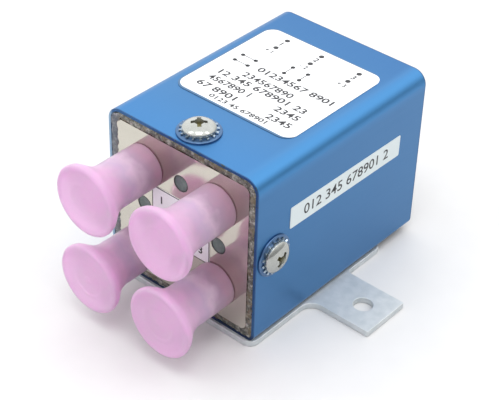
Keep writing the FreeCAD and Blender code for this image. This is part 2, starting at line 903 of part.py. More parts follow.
web_front = pole_face + d.core_length
web_back = web_front + d.frame_thick


def pusher_bar_a():
    """The bar across the top and bottom rods, with two lugs for the rocker's tines."""
    bar = new_body("pusher_bar_a")
    half = d.bar_half_width
    outline = points(
        (half, -bar_end), (half, bar_end), (-half, bar_end),
        (-half, lug_end), (-lug_reach, lug_end), (-lug_reach, lug_start), (-half, lug_start),
        (-half, -lug_start), (-lug_reach, -lug_start), (-lug_reach, -lug_end), (-half, -lug_end),
        (-half, -bar_end),
    )
    add(bar, "XZ_Plane", head_shut, d.bar_thick, [outline])
    spigots = [(ZERO, up * guide_offset, d.spigot_radius) for up in (-1, 1)]
    cut(bar, "XZ_Plane", head_shut, d.spigot_length, circles=spigots)
    keep(on_axis(bar))


def pusher_bar_b():
    """The bridge across the left and right rods: it steps over the other bar's travel."""
    bar = new_body("pusher_bar_b")
    foot = head_shut + d.travel
    leg_inner = guide_offset - d.bar_overlap
    outline = points(
        (-bar_end, foot), (-leg_inner, foot), (-leg_inner, bridge_underside),
        (leg_inner, bridge_underside), (leg_inner, foot), (bar_end, foot),
        (bar_end, bar_b_back), (-bar_end, bar_b_back),
    )
    add(bar, "XY_Plane", -d.bar_half_width, 2 * d.bar_half_width, [outline])
    spigots = [(across * guide_offset, ZERO, d.spigot_radius) for across in (-1, 1)]
    cut(bar, "XZ_Plane", foot, d.spigot_length, circles=spigots)
    keep(on_axis(bar))


def finger(reach, side):
    """The side view of one rocker finger: from the hub out to a round tip at the arm's radius."""
    left = side * d.arm_radius - d.finger_radius
    right = side * d.arm_radius + d.finger_radius
    tip = -reach + d.finger_radius
    root = d.hub_radius * finger_root
    heel = d.hub_radius * finger_heel
    left_height, right_height = (ZERO, -heel) if side < 0 else (-heel, ZERO)
    outline = [line_to(left, left_height), line_to(left, tip),
               arc_left(right, tip, d.finger_radius), line_to(right, right_height)]
    if side < 0:
        return [line_to(ZERO, root)] + outline + [line_to(ZERO, -root)]
    return [line_to(ZERO, -root)] + outline + [line_to(ZERO, root)]


def rocker():
    """The moulded rocker: hub, two tines for bar A, one finger for bar B, and the armature's seat."""
    body = new_body("rocker")
    add(body, "XY_Plane", -hub_half_length, 2 * hub_half_length, circles=[(ZERO, ZERO, d.hub_radius)])
    reach_a = pivot - bar_a_back - d.travel / 2
    reach_b = pivot - bar_b_back + d.travel / 2
    tine = finger(reach_a, -1)
    add(body, "XY_Plane", tine_inner, tine_outer - tine_inner, [tine])
    add(body, "XY_Plane", -tine_outer, tine_outer - tine_inner, [tine])
    add(body, "XY_Plane", -d.finger_half_width, 2 * d.finger_half_width, [finger(reach_b, 1)])
    seat = rectangle(d.seat_half_width, armature_seat / 2, y=armature_seat / 2)
    add(body, "XY_Plane", -d.armature_half_height, 2 * d.armature_half_height, [seat])
    shaft = [(ZERO, ZERO, d.pin_shaft_radius + d.running)]
    cut(body, "XY_Plane", -d.can_side, 2 * d.can_side, circles=shaft)
    keep(tilted(body))


def armature():
    body = new_body("armature")
    outline = rectangle(armature_half_length, d.armature_half_height, d.board_corner)
    add(body, "XZ_Plane", armature_seat, d.armature_thick, [outline])
    keep(tilted(body))


def tilted(piece):
    """Places a rocking piece, drawn level about the pivot, at its latched angle."""
    place(piece, ZERO, depth(pivot), axis_height, Rotation(Vector(0, 0, 1), tilt_degrees.value))
    piece.setExpression("Placement.Rotation.Angle", tilt_degrees.text)
    return piece


def pivot_pin():
    half_length = frame_inner + d.frame_thick + d.pin_overhang
    pin = doc.addObject("Part::Cylinder", "pivot_pin")
    bind(pin, Radius=d.pin_shaft_radius, Height=2 * half_length)
    keep(place(pin, ZERO, depth(pivot), axis_height - half_length))


def actuator_frame():
    """A folded steel frame: rear web, two flanges that hold the pivot, and two screw feet."""
    frame = new_body("actuator_frame")
    outer = frame_inner + d.frame_thick
    fold = d.bend_radius + d.frame_thick
    profile = rounded(
        (cover_back, frame_inner, fold), (web_front, frame_inner, d.bend_radius),
        (web_front, -frame_inner, d.bend_radius), (cover_back, -frame_inner, fold),
        (cover_back, -cover_half, ZERO), (cover_back + d.frame_thick, -cover_half, ZERO),
        (cover_back + d.frame_thick, -outer, d.bend_radius), (web_back, -outer, fold),
        (web_back, outer, fold), (cover_back + d.frame_thick, outer, d.bend_radius),
        (cover_back + d.frame_thick, cover_half, ZERO), (cover_back, cover_half, ZERO),
    )
    add(frame, "YZ_Plane", -d.frame_flange_half, 2 * d.frame_flange_half, [profile])
    web = rectangle(web_half_width, d.bobbin_radius, d.board_corner)
    add(frame, "XZ_Plane", web_front, d.frame_thick, [web])
    cores = [(side * core_x, ZERO, d.rivet_radius) for side in (-1, 1)]
    cut(frame, "XZ_Plane", web_front, d.can_side, circles=cores)
    shaft = [(ZERO, pivot, d.pin_shaft_radius)]
    cut(frame, "XY_Plane", -d.can_side, 2 * d.can_side, circles=shaft)
    feet = at_each(foot_places(), d.small_shank_radius + d.slip)
    cut(frame, "XZ_Plane", ZERO, d.can_length, circles=feet)
    keep(on_axis(frame))


def coils():
    """Two cores riveted to the frame's web, each in a wound bobbin."""
    cores = []
    for name, side in (("left", -1), ("right", 1)):
        core = turned(f"coil_core_{name}", points(
            (ZERO, pole_face), (d.core_radius, pole_face), (d.core_radius, web_front),
            (d.rivet_radius, web_front), (d.rivet_radius, web_back), (ZERO, web_back)))
        cores.append(on_axis(core, side * core_x))
        near, far = pole_face + d.bobbin_start, web_front
        wound, wound_end = near + d.bobbin_flange, far - d.bobbin_flange
        bobbin = turned(f"coil_bobbin_{name}", points(
            (d.core_radius + d.slip, near), (d.bobbin_radius, near), (d.bobbin_radius, wound),
            (bobbin_tube_radius, wound), (bobbin_tube_radius, wound_end),
            (d.bobbin_radius, wound_end), (d.bobbin_radius, far), (d.core_radius + d.slip, far)))
        winding = turned(f"coil_winding_{name}", points(
            (bobbin_tube_radius, wound), (winding_radius, wound),
            (winding_radius, wound_end), (bobbin_tube_radius, wound_end)))
        keep(on_axis(bobbin, side * core_x), on_axis(winding, side * core_x))
    keep(group("coil_cores", cores))


def block(label, half_width, half_height, near, length):
    box = doc.addObject("Part::Box", label)
    bind(box, Length=2 * half_width, Width=length, Height=2 * half_height)
    return place(box, -half_width, depth(near), axis_height - half_height)


def magnet_and_pole():
    section = (d.magnet_half_width, d.magnet_half_height)
    magnet_front = web_front - d.magnet_length
    pole_front = pivot + armature_seat + d.armature_thick + d.centre_gap
    keep(block("magnet", *section, magnet_front, d.magnet_length))
    keep(block("centre_pole", *section, pole_front, magnet_front - pole_front))


# ---------------------------------------------------------------- terminals


def circuit_board():
    board = new_body("circuit_board")
    start = web_back + d.board_gap
    holes = [(x, z, d.terminal_radius) for x, z in terminal_places()]
    outline = rectangle(board_half_width, d.board_half_height, d.board_corner)
    add(board, "XZ_Plane", start, d.board_thick, [outline], holes)
    keep(on_axis(board))
    diodes = []
    for across in (-1, 1):
        for up in (-1, 1):
            diode = doc.addObject("Part::Cylinder", f"diode_{len(diodes) + 1}")
            bind(diode, Radius=d.diode_radius, Height=d.diode_length)
            y = depth(start - d.diode_radius)
            left_end = across * d.diode_x - d.diode_length / 2
            lying = Rotation(Vector(0, 1, 0), 90)
            diodes.append(place(diode, left_end, y, axis_height + up * d.diode_z, lying))
    keep(group("diodes", diodes))


def terminals():
    """The header that closes the can's rear holes, and the six turret terminals through it."""
    header = new_body("terminal_header")
    inside = d.can_length - d.can_wall
    holes = [(x, z, d.terminal_radius) for x, z in terminal_places()]
    bosses = [(x, z, d.boss_radius) for x, z in terminal_places()]
    plate = rectangle(d.header_half_width, d.header_half_height, d.board_corner)
    through = d.header_thick + d.can_wall + d.boss_proud
    add(header, "XZ_Plane", inside - d.header_thick, d.header_thick, [plate])
    add(header, "XZ_Plane", inside - d.header_thick, through, circles=bosses)
    cut(header, "XZ_Plane", ZERO, 2 * d.can_length, circles=holes)
    keep(on_axis(header))
    pins = []
    start = web_back + d.board_gap - d.collar_length
    turret = d.can_length + d.boss_proud
    tip = turret + d.terminal_length
    for index, (x, z) in enumerate(terminal_places()):
        pin = turned(f"terminal_{index + 1}", points(
            (ZERO, start), (d.terminal_radius, start), (d.terminal_radius, turret),
            (d.collar_radius, turret), (d.collar_radius, turret + d.collar_length),
            (d.terminal_radius, turret + d.collar_length),
            (d.terminal_radius, tip - d.collar_length), (d.collar_radius, tip - d.collar_length),
            (d.collar_radius, tip), (ZERO, tip)))
        pins.append(on_axis(pin, x, ZERO, z))
    keep(group("terminals", pins))


# ---------------------------------------------------------------- labels


def labels():
    top = new_body("top_label")
    half = d.top_label_width / 2
    centre = d.top_label_start + d.top_label_length / 2
    outline = rectangle(half, d.top_label_length / 2, d.label_corner)
    add(top, "XY_Plane", ZERO, d.label_thick, [outline])
    keep(on_axis(top, -d.top_label_shift, centre, d.can_side / 2))
    side = new_body("side_label")
    outline = rectangle(d.side_label_length / 2, d.side_label_height / 2, d.side_label_corner)
    add(side, "YZ_Plane", ZERO, d.label_thick, [outline])
    middle = d.side_label_start + d.side_label_length / 2
    turn = Rotation(Vector(-1, 0, 0), d.side_label_tilt.value)
    place(side, d.can_side / 2, depth(middle), axis_height + d.side_label_rise, turn)
    side.setExpression("Placement.Rotation.Angle", d.side_label_tilt.text)
    keep(side)
    face = new_body("face_label")
    outline = rectangle(port_offset - d.face_label_side_gap, port_offset - d.face_label_end_gap)
    add(face, "XZ_Plane", -d.label_thick, d.label_thick, [outline])
    keep(on_axis(face))


# ---------------------------------------------------------------- assembly

cover_can()
bracket()
bracket_screws()
cover_fasteners()
rf_body()
face_seal()
guide_plugs()
cavity_cover()
cover_grip = d.cover_thick + d.small_grip
foot_seat = cover_back + d.frame_thick
rear_screws("cavity_cover_screws", port_places(cover_screw_offset), cover_back, cover_grip)
rear_screws("frame_screws", foot_places(), foot_seat, d.frame_thick + cover_grip)
for number, (across, up) in PORTS.items():
    jack(number, across, up)
    dust_cap(number, across, up)
for name, (across, up) in RODS.items():
    lift = d.travel if across else ZERO
    keep(reed(name, across, up, lift))
    keep(push_rod(name, across, up, lift))
    keep(return_spring(name, across, up, lift))
pusher_bar_a()
pusher_bar_b()
rocker()
armature()
pivot_pin()
actuator_frame()
coils()
magnet_and_pole()
circuit_board()
terminals()
labels()

doc.recompute()
for thing in doc.Objects:
    if "Invalid" in thing.State or "Error" in thing.State:
        raise RuntimeError(f"{thing.Label} failed: {thing.State}")
os.makedirs("parts", exist_ok=True)
for part in parts:
    if part.Shape.isNull() or not part.Shape.isValid():
        raise RuntimeError(f"{part.Label} has no valid shape")
    part.Shape.exportStep(f"parts/{part.Label}.step")
    print(f"{part.Label:24s} {len(part.Shape.Solids)} solids {part.Shape.Volume:9.2f} mm3")
print(len(parts), "sub-parts")
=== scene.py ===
import bmesh
import bpy
import json
import math
from mathutils import Matrix, Vector, noise


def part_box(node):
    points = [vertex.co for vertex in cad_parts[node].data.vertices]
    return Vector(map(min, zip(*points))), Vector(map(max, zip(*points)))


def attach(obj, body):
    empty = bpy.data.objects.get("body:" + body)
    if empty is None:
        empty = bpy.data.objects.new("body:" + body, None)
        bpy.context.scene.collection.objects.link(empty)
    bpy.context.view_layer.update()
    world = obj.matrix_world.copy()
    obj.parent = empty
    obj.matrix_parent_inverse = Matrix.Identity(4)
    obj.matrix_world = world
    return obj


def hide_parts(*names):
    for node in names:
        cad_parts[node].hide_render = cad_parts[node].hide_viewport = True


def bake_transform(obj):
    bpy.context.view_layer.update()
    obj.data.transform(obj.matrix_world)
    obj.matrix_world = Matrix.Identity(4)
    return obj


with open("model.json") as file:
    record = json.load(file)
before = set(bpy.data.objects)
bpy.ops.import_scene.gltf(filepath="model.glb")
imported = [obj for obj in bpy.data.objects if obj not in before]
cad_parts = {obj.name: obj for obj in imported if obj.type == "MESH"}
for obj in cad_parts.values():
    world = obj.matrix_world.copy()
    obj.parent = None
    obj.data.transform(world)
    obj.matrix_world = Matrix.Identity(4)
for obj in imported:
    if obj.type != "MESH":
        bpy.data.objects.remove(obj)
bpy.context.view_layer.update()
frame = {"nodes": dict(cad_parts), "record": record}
scene = bpy.context.scene
mm = 0.001
print("frame loaded:", len(frame["nodes"]), "nodes")


# camera, floor and light

view = {
    "place": (0.134571, -0.163569, 0.170648),
    "azimuth": 39.962,
    "elevation": 36.907,
    "roll": 1.859,
    "lens": 106.03,
    "sensor": 36,
}


def makeCamera():
    azimuth, elevation, roll = (math.radians(view[name]) for name in ("azimuth", "elevation", "roll"))
    back = Vector((math.sin(azimuth) * math.cos(elevation), -math.cos(azimuth) * math.cos(elevation),
                   math.sin(elevation)))
    right = (-back).cross(Vector((0, 0, 1))).normalized()
    up = right.cross(-back)
    across = math.cos(roll) * right + math.sin(roll) * up
    upright = math.cos(roll) * up - math.sin(roll) * right
    camera = bpy.data.objects.new("camera", bpy.data.cameras.new("camera"))
    camera.data.sensor_width = view["sensor"]
    camera.data.lens = view["lens"]
    camera.data.clip_start = 0.01
    turn = Matrix((across, upright, back)).transposed().to_4x4()
    camera.matrix_world = Matrix.Translation(view["place"]) @ turn
    scene.collection.objects.link(camera)
    scene.camera = camera


studio = {
    # the surround is bright above and towards the back left, and dark low down on the right
    "tilt": (-0.36, 0.2, 0.91),
    "low": 0.3,
    "high": 1.55,
    "range": (-0.15, 0.6),
    "floorSize": 3.0,
    "floorDrop": 0.00003,
    # name: (place, aimed at, width, height, power)
    "lamps": {
        "overhead": ((0.139, -0.166, 0.666), (0, 0, 0.03), 0.30, 0.24, 0.9),
        "leftBox": ((-0.229, -0.328, 0.573), (0, 0, 0.02), 0.12, 0.22, 0.3),
        "rightBox": ((0.363, 0.168, 0.573), (0, 0, 0.02), 0.12, 0.22, 0.3),
    },
}


def makeLamp(name, place, aim, width, height, power):
    lamp = bpy.data.lights.new(name, "AREA")
    lamp.shape = "RECTANGLE"
    lamp.size = width
    lamp.size_y = height
    lamp.energy = power
    holder = bpy.data.objects.new(name, lamp)
    holder.location = place
    holder.rotation_mode = "QUATERNION"
    holder.rotation_quaternion = (Vector(aim) - Vector(place)).to_track_quat("-Z", "Y")
    scene.collection.objects.link(holder)


def makeSurround():
    world = bpy.data.worlds.new("surround")
    world.use_nodes = True
    tree = world.node_tree
    backdrop = tree.nodes["Background"]
    backdrop.inputs["Color"].default_value = (1, 1, 1, 1)
    way = tree.nodes.new("ShaderNodeTexCoord")
    lean = tree.nodes.new("ShaderNodeVectorMath")
    lean.operation = "DOT_PRODUCT"
    lean.inputs[1].default_value = studio["tilt"]
    fade = tree.nodes.new("ShaderNodeMapRange")
    fade.interpolation_type = "SMOOTHSTEP"
    for name, value in zip(("From Min", "From Max", "To Min", "To Max"),
                           (*studio["range"], studio["low"], studio["high"])):
        fade.inputs[name].default_value = value
    tree.links.new(way.outputs["Generated"], lean.inputs[0])
    tree.links.new(lean.outputs["Value"], fade.inputs["Value"])
    tree.links.new(fade.outputs["Result"], backdrop.inputs["Strength"])
    scene.world = world
    scene.view_settings.view_transform = "Standard"


makeCamera()
makeSurround()
for lampName, lampFacts in studio["lamps"].items():
    makeLamp(lampName, *lampFacts)
print("camera and lamps placed")


# finishes

class Flow:
    # a socket that sums are written on: each operator adds its Math node
    def __init__(self, finish, maker, socket):
        self.finish = finish
        self.maker = maker
        self.socket = socket

    def output(self, name):
        return Flow(self.finish, self.maker, self.maker.outputs[name])

    def __add__(self, other):
        return self.finish.maths("ADD", self, other)

    def __radd__(self, other):
        return self.finish.maths("ADD", other, self)

    def __sub__(self, other):
        return self.finish.maths("SUBTRACT", self, other)

    def __rsub__(self, other):
        return self.finish.maths("SUBTRACT", other, self)

    def __mul__(self, other):
        return self.finish.maths("MULTIPLY", self, other)

    def __rmul__(self, other):
        return self.finish.maths("MULTIPLY", other, self)

    def __truediv__(self, other):
        return self.finish.maths("DIVIDE", self, other)


class Finish:
    def __init__(self, name):
        self.material = bpy.data.materials.new(name)
        self.material.use_nodes = True
        self.tree = self.material.node_tree
        self.tree.nodes.clear()

    def node(self, kind, settings, sockets):
        made = self.tree.nodes.new("ShaderNode" + kind)
        for name, value in settings.items():
            if name == "stops":
                self.setStops(made.color_ramp, value)
            else:
                setattr(made, name, value)
        for key, value in sockets.items():
            socket = made.inputs[key] if isinstance(key, int) else self.named(made, key)
            if isinstance(value, Flow):
                self.tree.links.new(value.socket, socket)
            else:
                socket.default_value = value
        return Flow(self, made, next(s for s in made.outputs if s.enabled))

    def named(self, made, name):
        return next(s for s in made.inputs if s.enabled and s.name == name)

    def setStops(self, ramp, stops):
        while len(ramp.elements) < len(stops):
            ramp.elements.new(0.5)
        for element, (place, colour) in zip(ramp.elements, stops):
            element.position = place
            element.color = colour

    def maths(self, operation, *values):
        return self.node("Math", {"operation": operation}, dict(enumerate(values)))

    def places(self, stretch=(1, 1, 1)):
        # the object's own coordinates in millimetres, stretched along each axis
        own = self.node("TexCoord", {}, {}).output("Object")
        return self.node("Mapping", {}, {"Vector": own, "Scale": tuple(1000 * value for value in stretch)})

    def along(self, axis):
        # distance along one axis, in millimetres
        return self.node("SeparateXYZ", {}, {"Vector": self.places()}).output(axis)

    def noise(self, size, detail=2.0, stretch=(1, 1, 1), rough=0.5):
        # soft noise from 0 to 1 whose lumps are about size millimetres across
        return self.node("TexNoise", {}, {"Vector": self.places(stretch), "Scale": 1 / size,
                                          "Detail": detail, "Roughness": rough}).output("Fac")

    def step(self, value, low, high):
        # 0 below low, 1 above high, smooth between
        return self.node("MapRange", {"interpolation_type": "SMOOTHSTEP"},
                         {"Value": value, "From Min": low, "From Max": high})

    def mix(self, share, first, second):
        return self.node("Mix", {"data_type": "RGBA"}, {"Factor": share, "A": first, "B": second})

    def bump(self, height, depth):
        # depth in millimetres is what a height of 1 stands for
        return self.node("Bump", {}, {"Height": height, "Distance": depth * mm})

    def surface(self, sockets):
        shader = self.node("BsdfPrincipled", {}, sockets)
        output = self.tree.nodes.new("ShaderNodeOutputMaterial")
        self.tree.links.new(shader.socket, output.inputs["Surface"])
        return self.material


def tint(red, green, blue):
    # a screen colour from 0 to 255 as the linear colour that a shader takes
    parts = (value / 255 for value in (red, green, blue))
    return tuple(p / 12.92 if p <= 0.04045 else ((p + 0.055) / 1.055) ** 2.4 for p in parts) + (1,)


# where the can's blue changes, mostly painted light and shade: the ends of each step along an axis, in
# millimetres
canTone = {
    "top": (34.2, 34.65), "topFront": (-20, -6), "topRear": (0, 26),
    "rightFillet": (12.5, 15.5), "rightFilletHeight": (30.5, 33.5),
    "leftFillet": (-17.2, -16.2), "leftFilletHeight": (32.4, 33.4),
    "rearEdge": (24.0, 24.45), "foot": (1.35, 1.75),
    "rim": (-20.72, -20.5), "leftRim": (-16.4, -15.6), "lowRim": (1.8, 3.2), "wornRim": (-20.7, -20.55),
}


def blueAnodised():
    finish = Finish("blueAnodised")
    across, depth, height = (finish.along(axis) for axis in "XYZ")

    def past(value, zone):
        return finish.step(value, *canTone[zone])

    cloud = finish.noise(9, 3)
    drawn = finish.noise(0.5, 2, stretch=(1, 0.05, 1))  # faint lines along the draw
    grain = finish.noise(0.12, 2)
    patch = finish.mix(cloud, tint(64, 116, 166), tint(73, 125, 174))
    onTop = past(height, "top")
    # painted light on the front of the top and painted shade on its rear
    patch = finish.mix(onTop * (1 - past(depth, "topFront")), patch, tint(65, 124, 179))
    patch = finish.mix(onTop * past(depth, "topRear"), patch, tint(56, 110, 163))
    # painted highlight along the right fillet, painted shade along the left one and the bent rear edges
    rightFillet = past(across, "rightFillet") * past(height, "rightFilletHeight")
    patch = finish.mix(rightFillet, patch, tint(72, 134, 188))
    leftFillet = (1 - past(across, "leftFillet")) * past(height, "leftFilletHeight")
    patch = finish.mix(leftFillet, patch, tint(38, 78, 126))
    patch = finish.mix(past(depth, "rearEdge"), patch, tint(36, 66, 98))
    # the can's front rim: painted shade on its end face, with a painted highlight towards the left end
    rimLightAndShade = finish.mix(1 - past(across, "leftRim"), tint(52, 92, 138), tint(140, 168, 192))
    # deeper painted shade low down on the rim
    rimLightAndShade = finish.mix(past(height, "lowRim"), tint(34, 54, 86), rimLightAndShade)
    # painted shade along the foot of the can where it meets the bracket
    patch = finish.mix(past(height, "foot"), tint(32, 50, 82), patch)
    colour = finish.mix(past(depth, "rim"), rimLightAndShade, patch)
    worn = finish.step(finish.noise(1.1, 4), 0.6, 0.72) * (1 - past(depth, "wornRim"))
    return finish.surface({
        "Base Color": finish.mix(worn, colour, tint(70, 84, 84)),
        "Metallic": 0.85,
        "Roughness": 0.3 + 0.1 * cloud + 0.06 * drawn,
        "Normal": finish.bump(0.5 * grain + 0.5 * drawn, 0.006),
    })


def faceMetal():
    finish = Finish("faceMetal")
    cloud = finish.noise(4, 3)
    milled = finish.noise(0.25, 2, stretch=(0.06, 1, 1))
    return finish.surface({
        "Base Color": finish.mix(cloud, tint(196, 192, 180), tint(210, 206, 194)),
        "Metallic": 0.95,
        "Roughness": 0.06 + 0.05 * cloud + 0.04 * milled,
        "Normal": finish.bump(milled, 0.002),
    })


def sealant():
    finish = Finish("sealant")
    blotch = finish.noise(1.0, 5, rough=0.75)
    brown = finish.step(finish.noise(1.8, 3), 0.48, 0.6)
    fleck = finish.step(finish.noise(0.6, 3), 0.62, 0.74)
    base = finish.node("ValToRGB", {"stops": [(0.38, tint(38, 44, 42)), (0.5, tint(92, 92, 82)),
                                              (0.63, tint(158, 158, 150))]}, {"Fac": blotch})
    warm = finish.mix(0.6 * brown, base, tint(106, 92, 62))
    # painted light on the left end of the bead, a lighter blue-grey
    leftLight = 1 - finish.step(finish.along("X"), -15.0, -13.4)
    warm = finish.mix(0.35 * leftLight, warm, tint(92, 108, 136))
    return finish.surface({
        "Base Color": finish.mix(0.6 * fleck, warm, tint(176, 180, 178)),
        "Roughness": 0.3 + 0.3 * blotch,
        "Coat Weight": 0.3,
        "Coat Roughness": 0.2,
        "Normal": finish.bump(blotch + 0.3 * fleck, 0.25),
    })


def plugResin():
    finish = Finish("plugResin")
    blotch = finish.noise(0.6, 4)
    return finish.surface({
        "Base Color": finish.mix(blotch, tint(50, 68, 66), tint(92, 112, 106)),
        "Roughness": 0.14 + 0.15 * blotch,
        "Coat Weight": 0.5,
        "Coat Roughness": 0.1,
        "Normal": finish.bump(blotch, 0.05),
    })


def plugRim():
    finish = Finish("plugRim")
    blotch = finish.noise(0.3, 3)
    return finish.surface({
        "Base Color": finish.mix(blotch, tint(22, 26, 28), tint(44, 48, 48)),
        "Roughness": 0.4 + 0.2 * blotch,
    })


def turnedMetal(name, dark, light, roughness, metallic=1.0, size=0.3, depth=0.003):
    finish = Finish(name)
    patch = finish.noise(size * 8, 3)
    fine = finish.noise(size, 3)
    return finish.surface({
        "Base Color": finish.mix(patch, dark, light),
        "Metallic": metallic,
        "Roughness": roughness + 0.08 * patch + 0.06 * fine,
        "Normal": finish.bump(fine, depth),
    })


def screwNickel():
    finish = Finish("screwNickel")
    patch = finish.noise(1.2, 3)
    fine = finish.noise(0.2, 3)
    inCross = finish.node("Attribute", {"attribute_name": "inCross"}, {}).output("Fac")
    plated = finish.mix(patch, tint(158, 161, 157), tint(190, 192, 188))
    return finish.surface({
        # painted shade in the driver's cross: darker and olive
        "Base Color": finish.mix(inCross, plated, tint(128, 122, 86)),
        "Metallic": 0.75,
        "Roughness": 0.12 + 0.08 * patch + 0.3 * inCross,
        "Normal": finish.bump(fine, 0.006),
    })


def mouldedPlastic(name, dark, light, roughness, depth=0.01, scatter=0.0):
    finish = Finish(name)
    patch = finish.noise(3, 3)
    fine = finish.noise(0.25, 3)
    return finish.surface({
        "Base Color": finish.mix(patch, dark, light),
        "Roughness": roughness + 0.1 * patch,
        "Subsurface Weight": scatter,
        "Subsurface Scale": 0.001,
        "Normal": finish.bump(fine, depth),
    })


vinyl = {
    "mouth": -20.8,  # where a cap begins along Y
    "length": 14.3,
    "blur": 0.4,
    # painted see-through: the jack painted faintly into the sleeve's colour, with a painted highlight at its
    # middle and painted shade near the mouth: share of the length, colour
    "through": [(0.0, tint(228, 188, 212)), (0.08, tint(222, 184, 207)), (0.24, tint(211, 181, 206)),
                (0.37, tint(246, 217, 239)), (0.5, tint(228, 202, 230)), (0.6, tint(236, 203, 232)),
                (0.74, tint(253, 212, 241)), (1.0, tint(255, 208, 242))],
}


def pinkVinyl():
    finish = Finish("pinkVinyl")
    cloud = finish.noise(3, 3)
    fine = finish.noise(0.5, 3)
    reach = (vinyl["mouth"] - finish.along("Y")) / vinyl["length"] + vinyl["blur"] * (cloud - 0.5)
    # the sleeve's painted see-through, highlight and shade
    through = finish.node("ValToRGB", {"stops": vinyl["through"]}, {"Fac": reach})
    return finish.surface({
        "Base Color": through,
        "Roughness": 0.4 + 0.06 * cloud,
        "IOR": 1.35,
        "Transmission Weight": 0.5,
        "Subsurface Weight": 1.0,
        "Subsurface Radius": (1.0, 0.7, 0.95),
        "Subsurface Scale": 0.0015,
        "Normal": finish.bump(fine, 0.01),
    })


sheet = {
    "side": (16.2, 16.8),  # along X; the side label is painted greyer: painted shade
    "top": (34.2, 34.6),  # along Z; the top label's border is painted darker: painted shade along its edge
    # the edge begins this far outside of a rectangle: its middle and half size along X and Y
    "edge": (2.13, 2.26), "X": (-0.25, 10.7), "Y": (4.6, 10.65),
}


def labelPaper():
    finish = Finish("labelPaper")
    fibre = finish.noise(0.4, 4)
    paper = finish.mix(fibre, tint(238, 240, 243), tint(247, 248, 250))
    # painted shade on the side label
    paper = finish.mix(finish.step(finish.along("X"), *sheet["side"]), paper, tint(219, 229, 231))
    beyond = []
    for axis in "XY":
        middle, half = sheet[axis]
        away = finish.maths("ABSOLUTE", finish.along(axis) - middle)
        beyond.append(finish.maths("MAXIMUM", away - half, 0))
    reach = finish.maths("SQRT", beyond[0] * beyond[0] + beyond[1] * beyond[1])
    # painted shade along the top label's edge
    edge = finish.step(reach, *sheet["edge"]) * finish.step(finish.along("Z"), *sheet["top"])
    return finish.surface({
        "Base Color": finish.mix(edge, paper, tint(66, 104, 140)),
        "Roughness": 0.45 + 0.1 * fibre,
        "Normal": finish.bump(fibre, 0.006),
    })


def printInk():
    finish = Finish("printInk")
    worn = finish.noise(0.25, 4)
    return finish.surface({
        "Base Color": finish.mix(worn, tint(24, 25, 28), tint(62, 62, 66)),
        "Roughness": 0.5 + 0.1 * worn,
    })


def boardGlass():
    finish = Finish("boardGlass")
    weave = finish.node("TexWave", {"wave_type": "BANDS", "bands_direction": "X"},
                        {"Vector": finish.places(), "Scale": 1.2, "Distortion": 0.4, "Detail": 1.0})
    cloud = finish.noise(3, 3)
    return finish.surface({
        "Base Color": finish.mix(cloud, tint(18, 82, 48), tint(34, 104, 62)),
        "Roughness": 0.3 + 0.15 * weave.output("Fac"),
        "Coat Weight": 0.5,
        "Normal": finish.bump(weave.output("Fac"), 0.01),
    })


def paleFloor():
    finish = Finish("paleFloor")
    fine = finish.noise(6, 2)
    return finish.surface({
        "Base Color": finish.mix(fine, tint(214, 214, 215), tint(219, 219, 220)),
        "Roughness": 0.6,
    })


finishes = {
    "can_blue": blueAnodised(),
    "body_metal": faceMetal(),
    "sealant": sealant(),
    "plug_resin": plugResin(),
    "jack_steel": turnedMetal("jackSteel", tint(150, 150, 154), tint(184, 184, 188), 0.24),
    "insulator": mouldedPlastic("insulator", tint(232, 232, 228), tint(244, 244, 240), 0.5, scatter=0.5),
    "gold": turnedMetal("goldPlate", tint(214, 166, 74), tint(232, 190, 100), 0.2),
    "cap_pink": pinkVinyl(),
    "rod_plastic": mouldedPlastic("rodPlastic", tint(206, 190, 150), tint(222, 208, 172), 0.4, scatter=0.3),
    "spring_steel": turnedMetal("springSteel", tint(142, 144, 148), tint(176, 178, 182), 0.25),
    "moulding": mouldedPlastic("blackMoulding", tint(30, 31, 33), tint(44, 45, 48), 0.45, 0.015),
    "soft_iron": turnedMetal("softIron", tint(150, 150, 146), tint(182, 180, 172), 0.32),
    "bobbin": mouldedPlastic("bobbinNylon", tint(212, 206, 188), tint(226, 221, 206), 0.45, scatter=0.3),
    "copper_wire": turnedMetal("enamelledCopper", tint(158, 74, 34), tint(190, 98, 48), 0.25, 0.85),
    "magnet": turnedMetal("magnetNickel", tint(168, 166, 160), tint(196, 193, 186), 0.22),
    "board": boardGlass(),
    "diode": mouldedPlastic("diodeBlack", tint(22, 22, 24), tint(34, 34, 36), 0.3),
    "header": mouldedPlastic("headerBlack", tint(26, 27, 30), tint(40, 41, 45), 0.42, 0.015),
    "terminal": turnedMetal("tinnedBrass", tint(186, 180, 160), tint(210, 204, 186), 0.26),
    "screw_nickel": screwNickel(),
    # the washers' steel is painted darker and bluer: painted reflection of the blue can and painted shade
    "washer_steel": turnedMetal("washerSteel", tint(66, 96, 134), tint(102, 130, 164), 0.24,
                                size=0.2, depth=0.012),
    "bracket_steel": turnedMetal("bracketSteel", tint(184, 192, 195), tint(222, 225, 227), 0.4, 0.45,
                                 size=0.2, depth=0.014),
    "label_white": labelPaper(),
}
ink = printInk()
rim = plugRim()
# the tooth washers' blue-grey is painted reflection of the can
toothSteel = turnedMetal("toothSteel", tint(140, 158, 174), tint(186, 200, 210), 0.2, size=0.2, depth=0.012)
print("finishes made")


# making pieces, in millimetres

# turns that point a pattern's z axis out of each side
outward = {
    "up": Matrix.Identity(4),
    "front": Matrix(((1, 0, 0), (0, 0, -1), (0, 1, 0))).to_4x4(),
    "back": Matrix(((-1, 0, 0), (0, 0, 1), (0, 1, 0))).to_4x4(),
    "right": Matrix(((0, 0, 1), (1, 0, 0), (0, 1, 0))).to_4x4(),
    "left": Matrix(((0, 0, -1), (-1, 0, 0), (0, 1, 0))).to_4x4(),
}


def boxOf(node):
    low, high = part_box(node)
    return low / mm, high / mm


def middleOf(node):
    low, high = boxOf(node)
    return (low + high) / 2


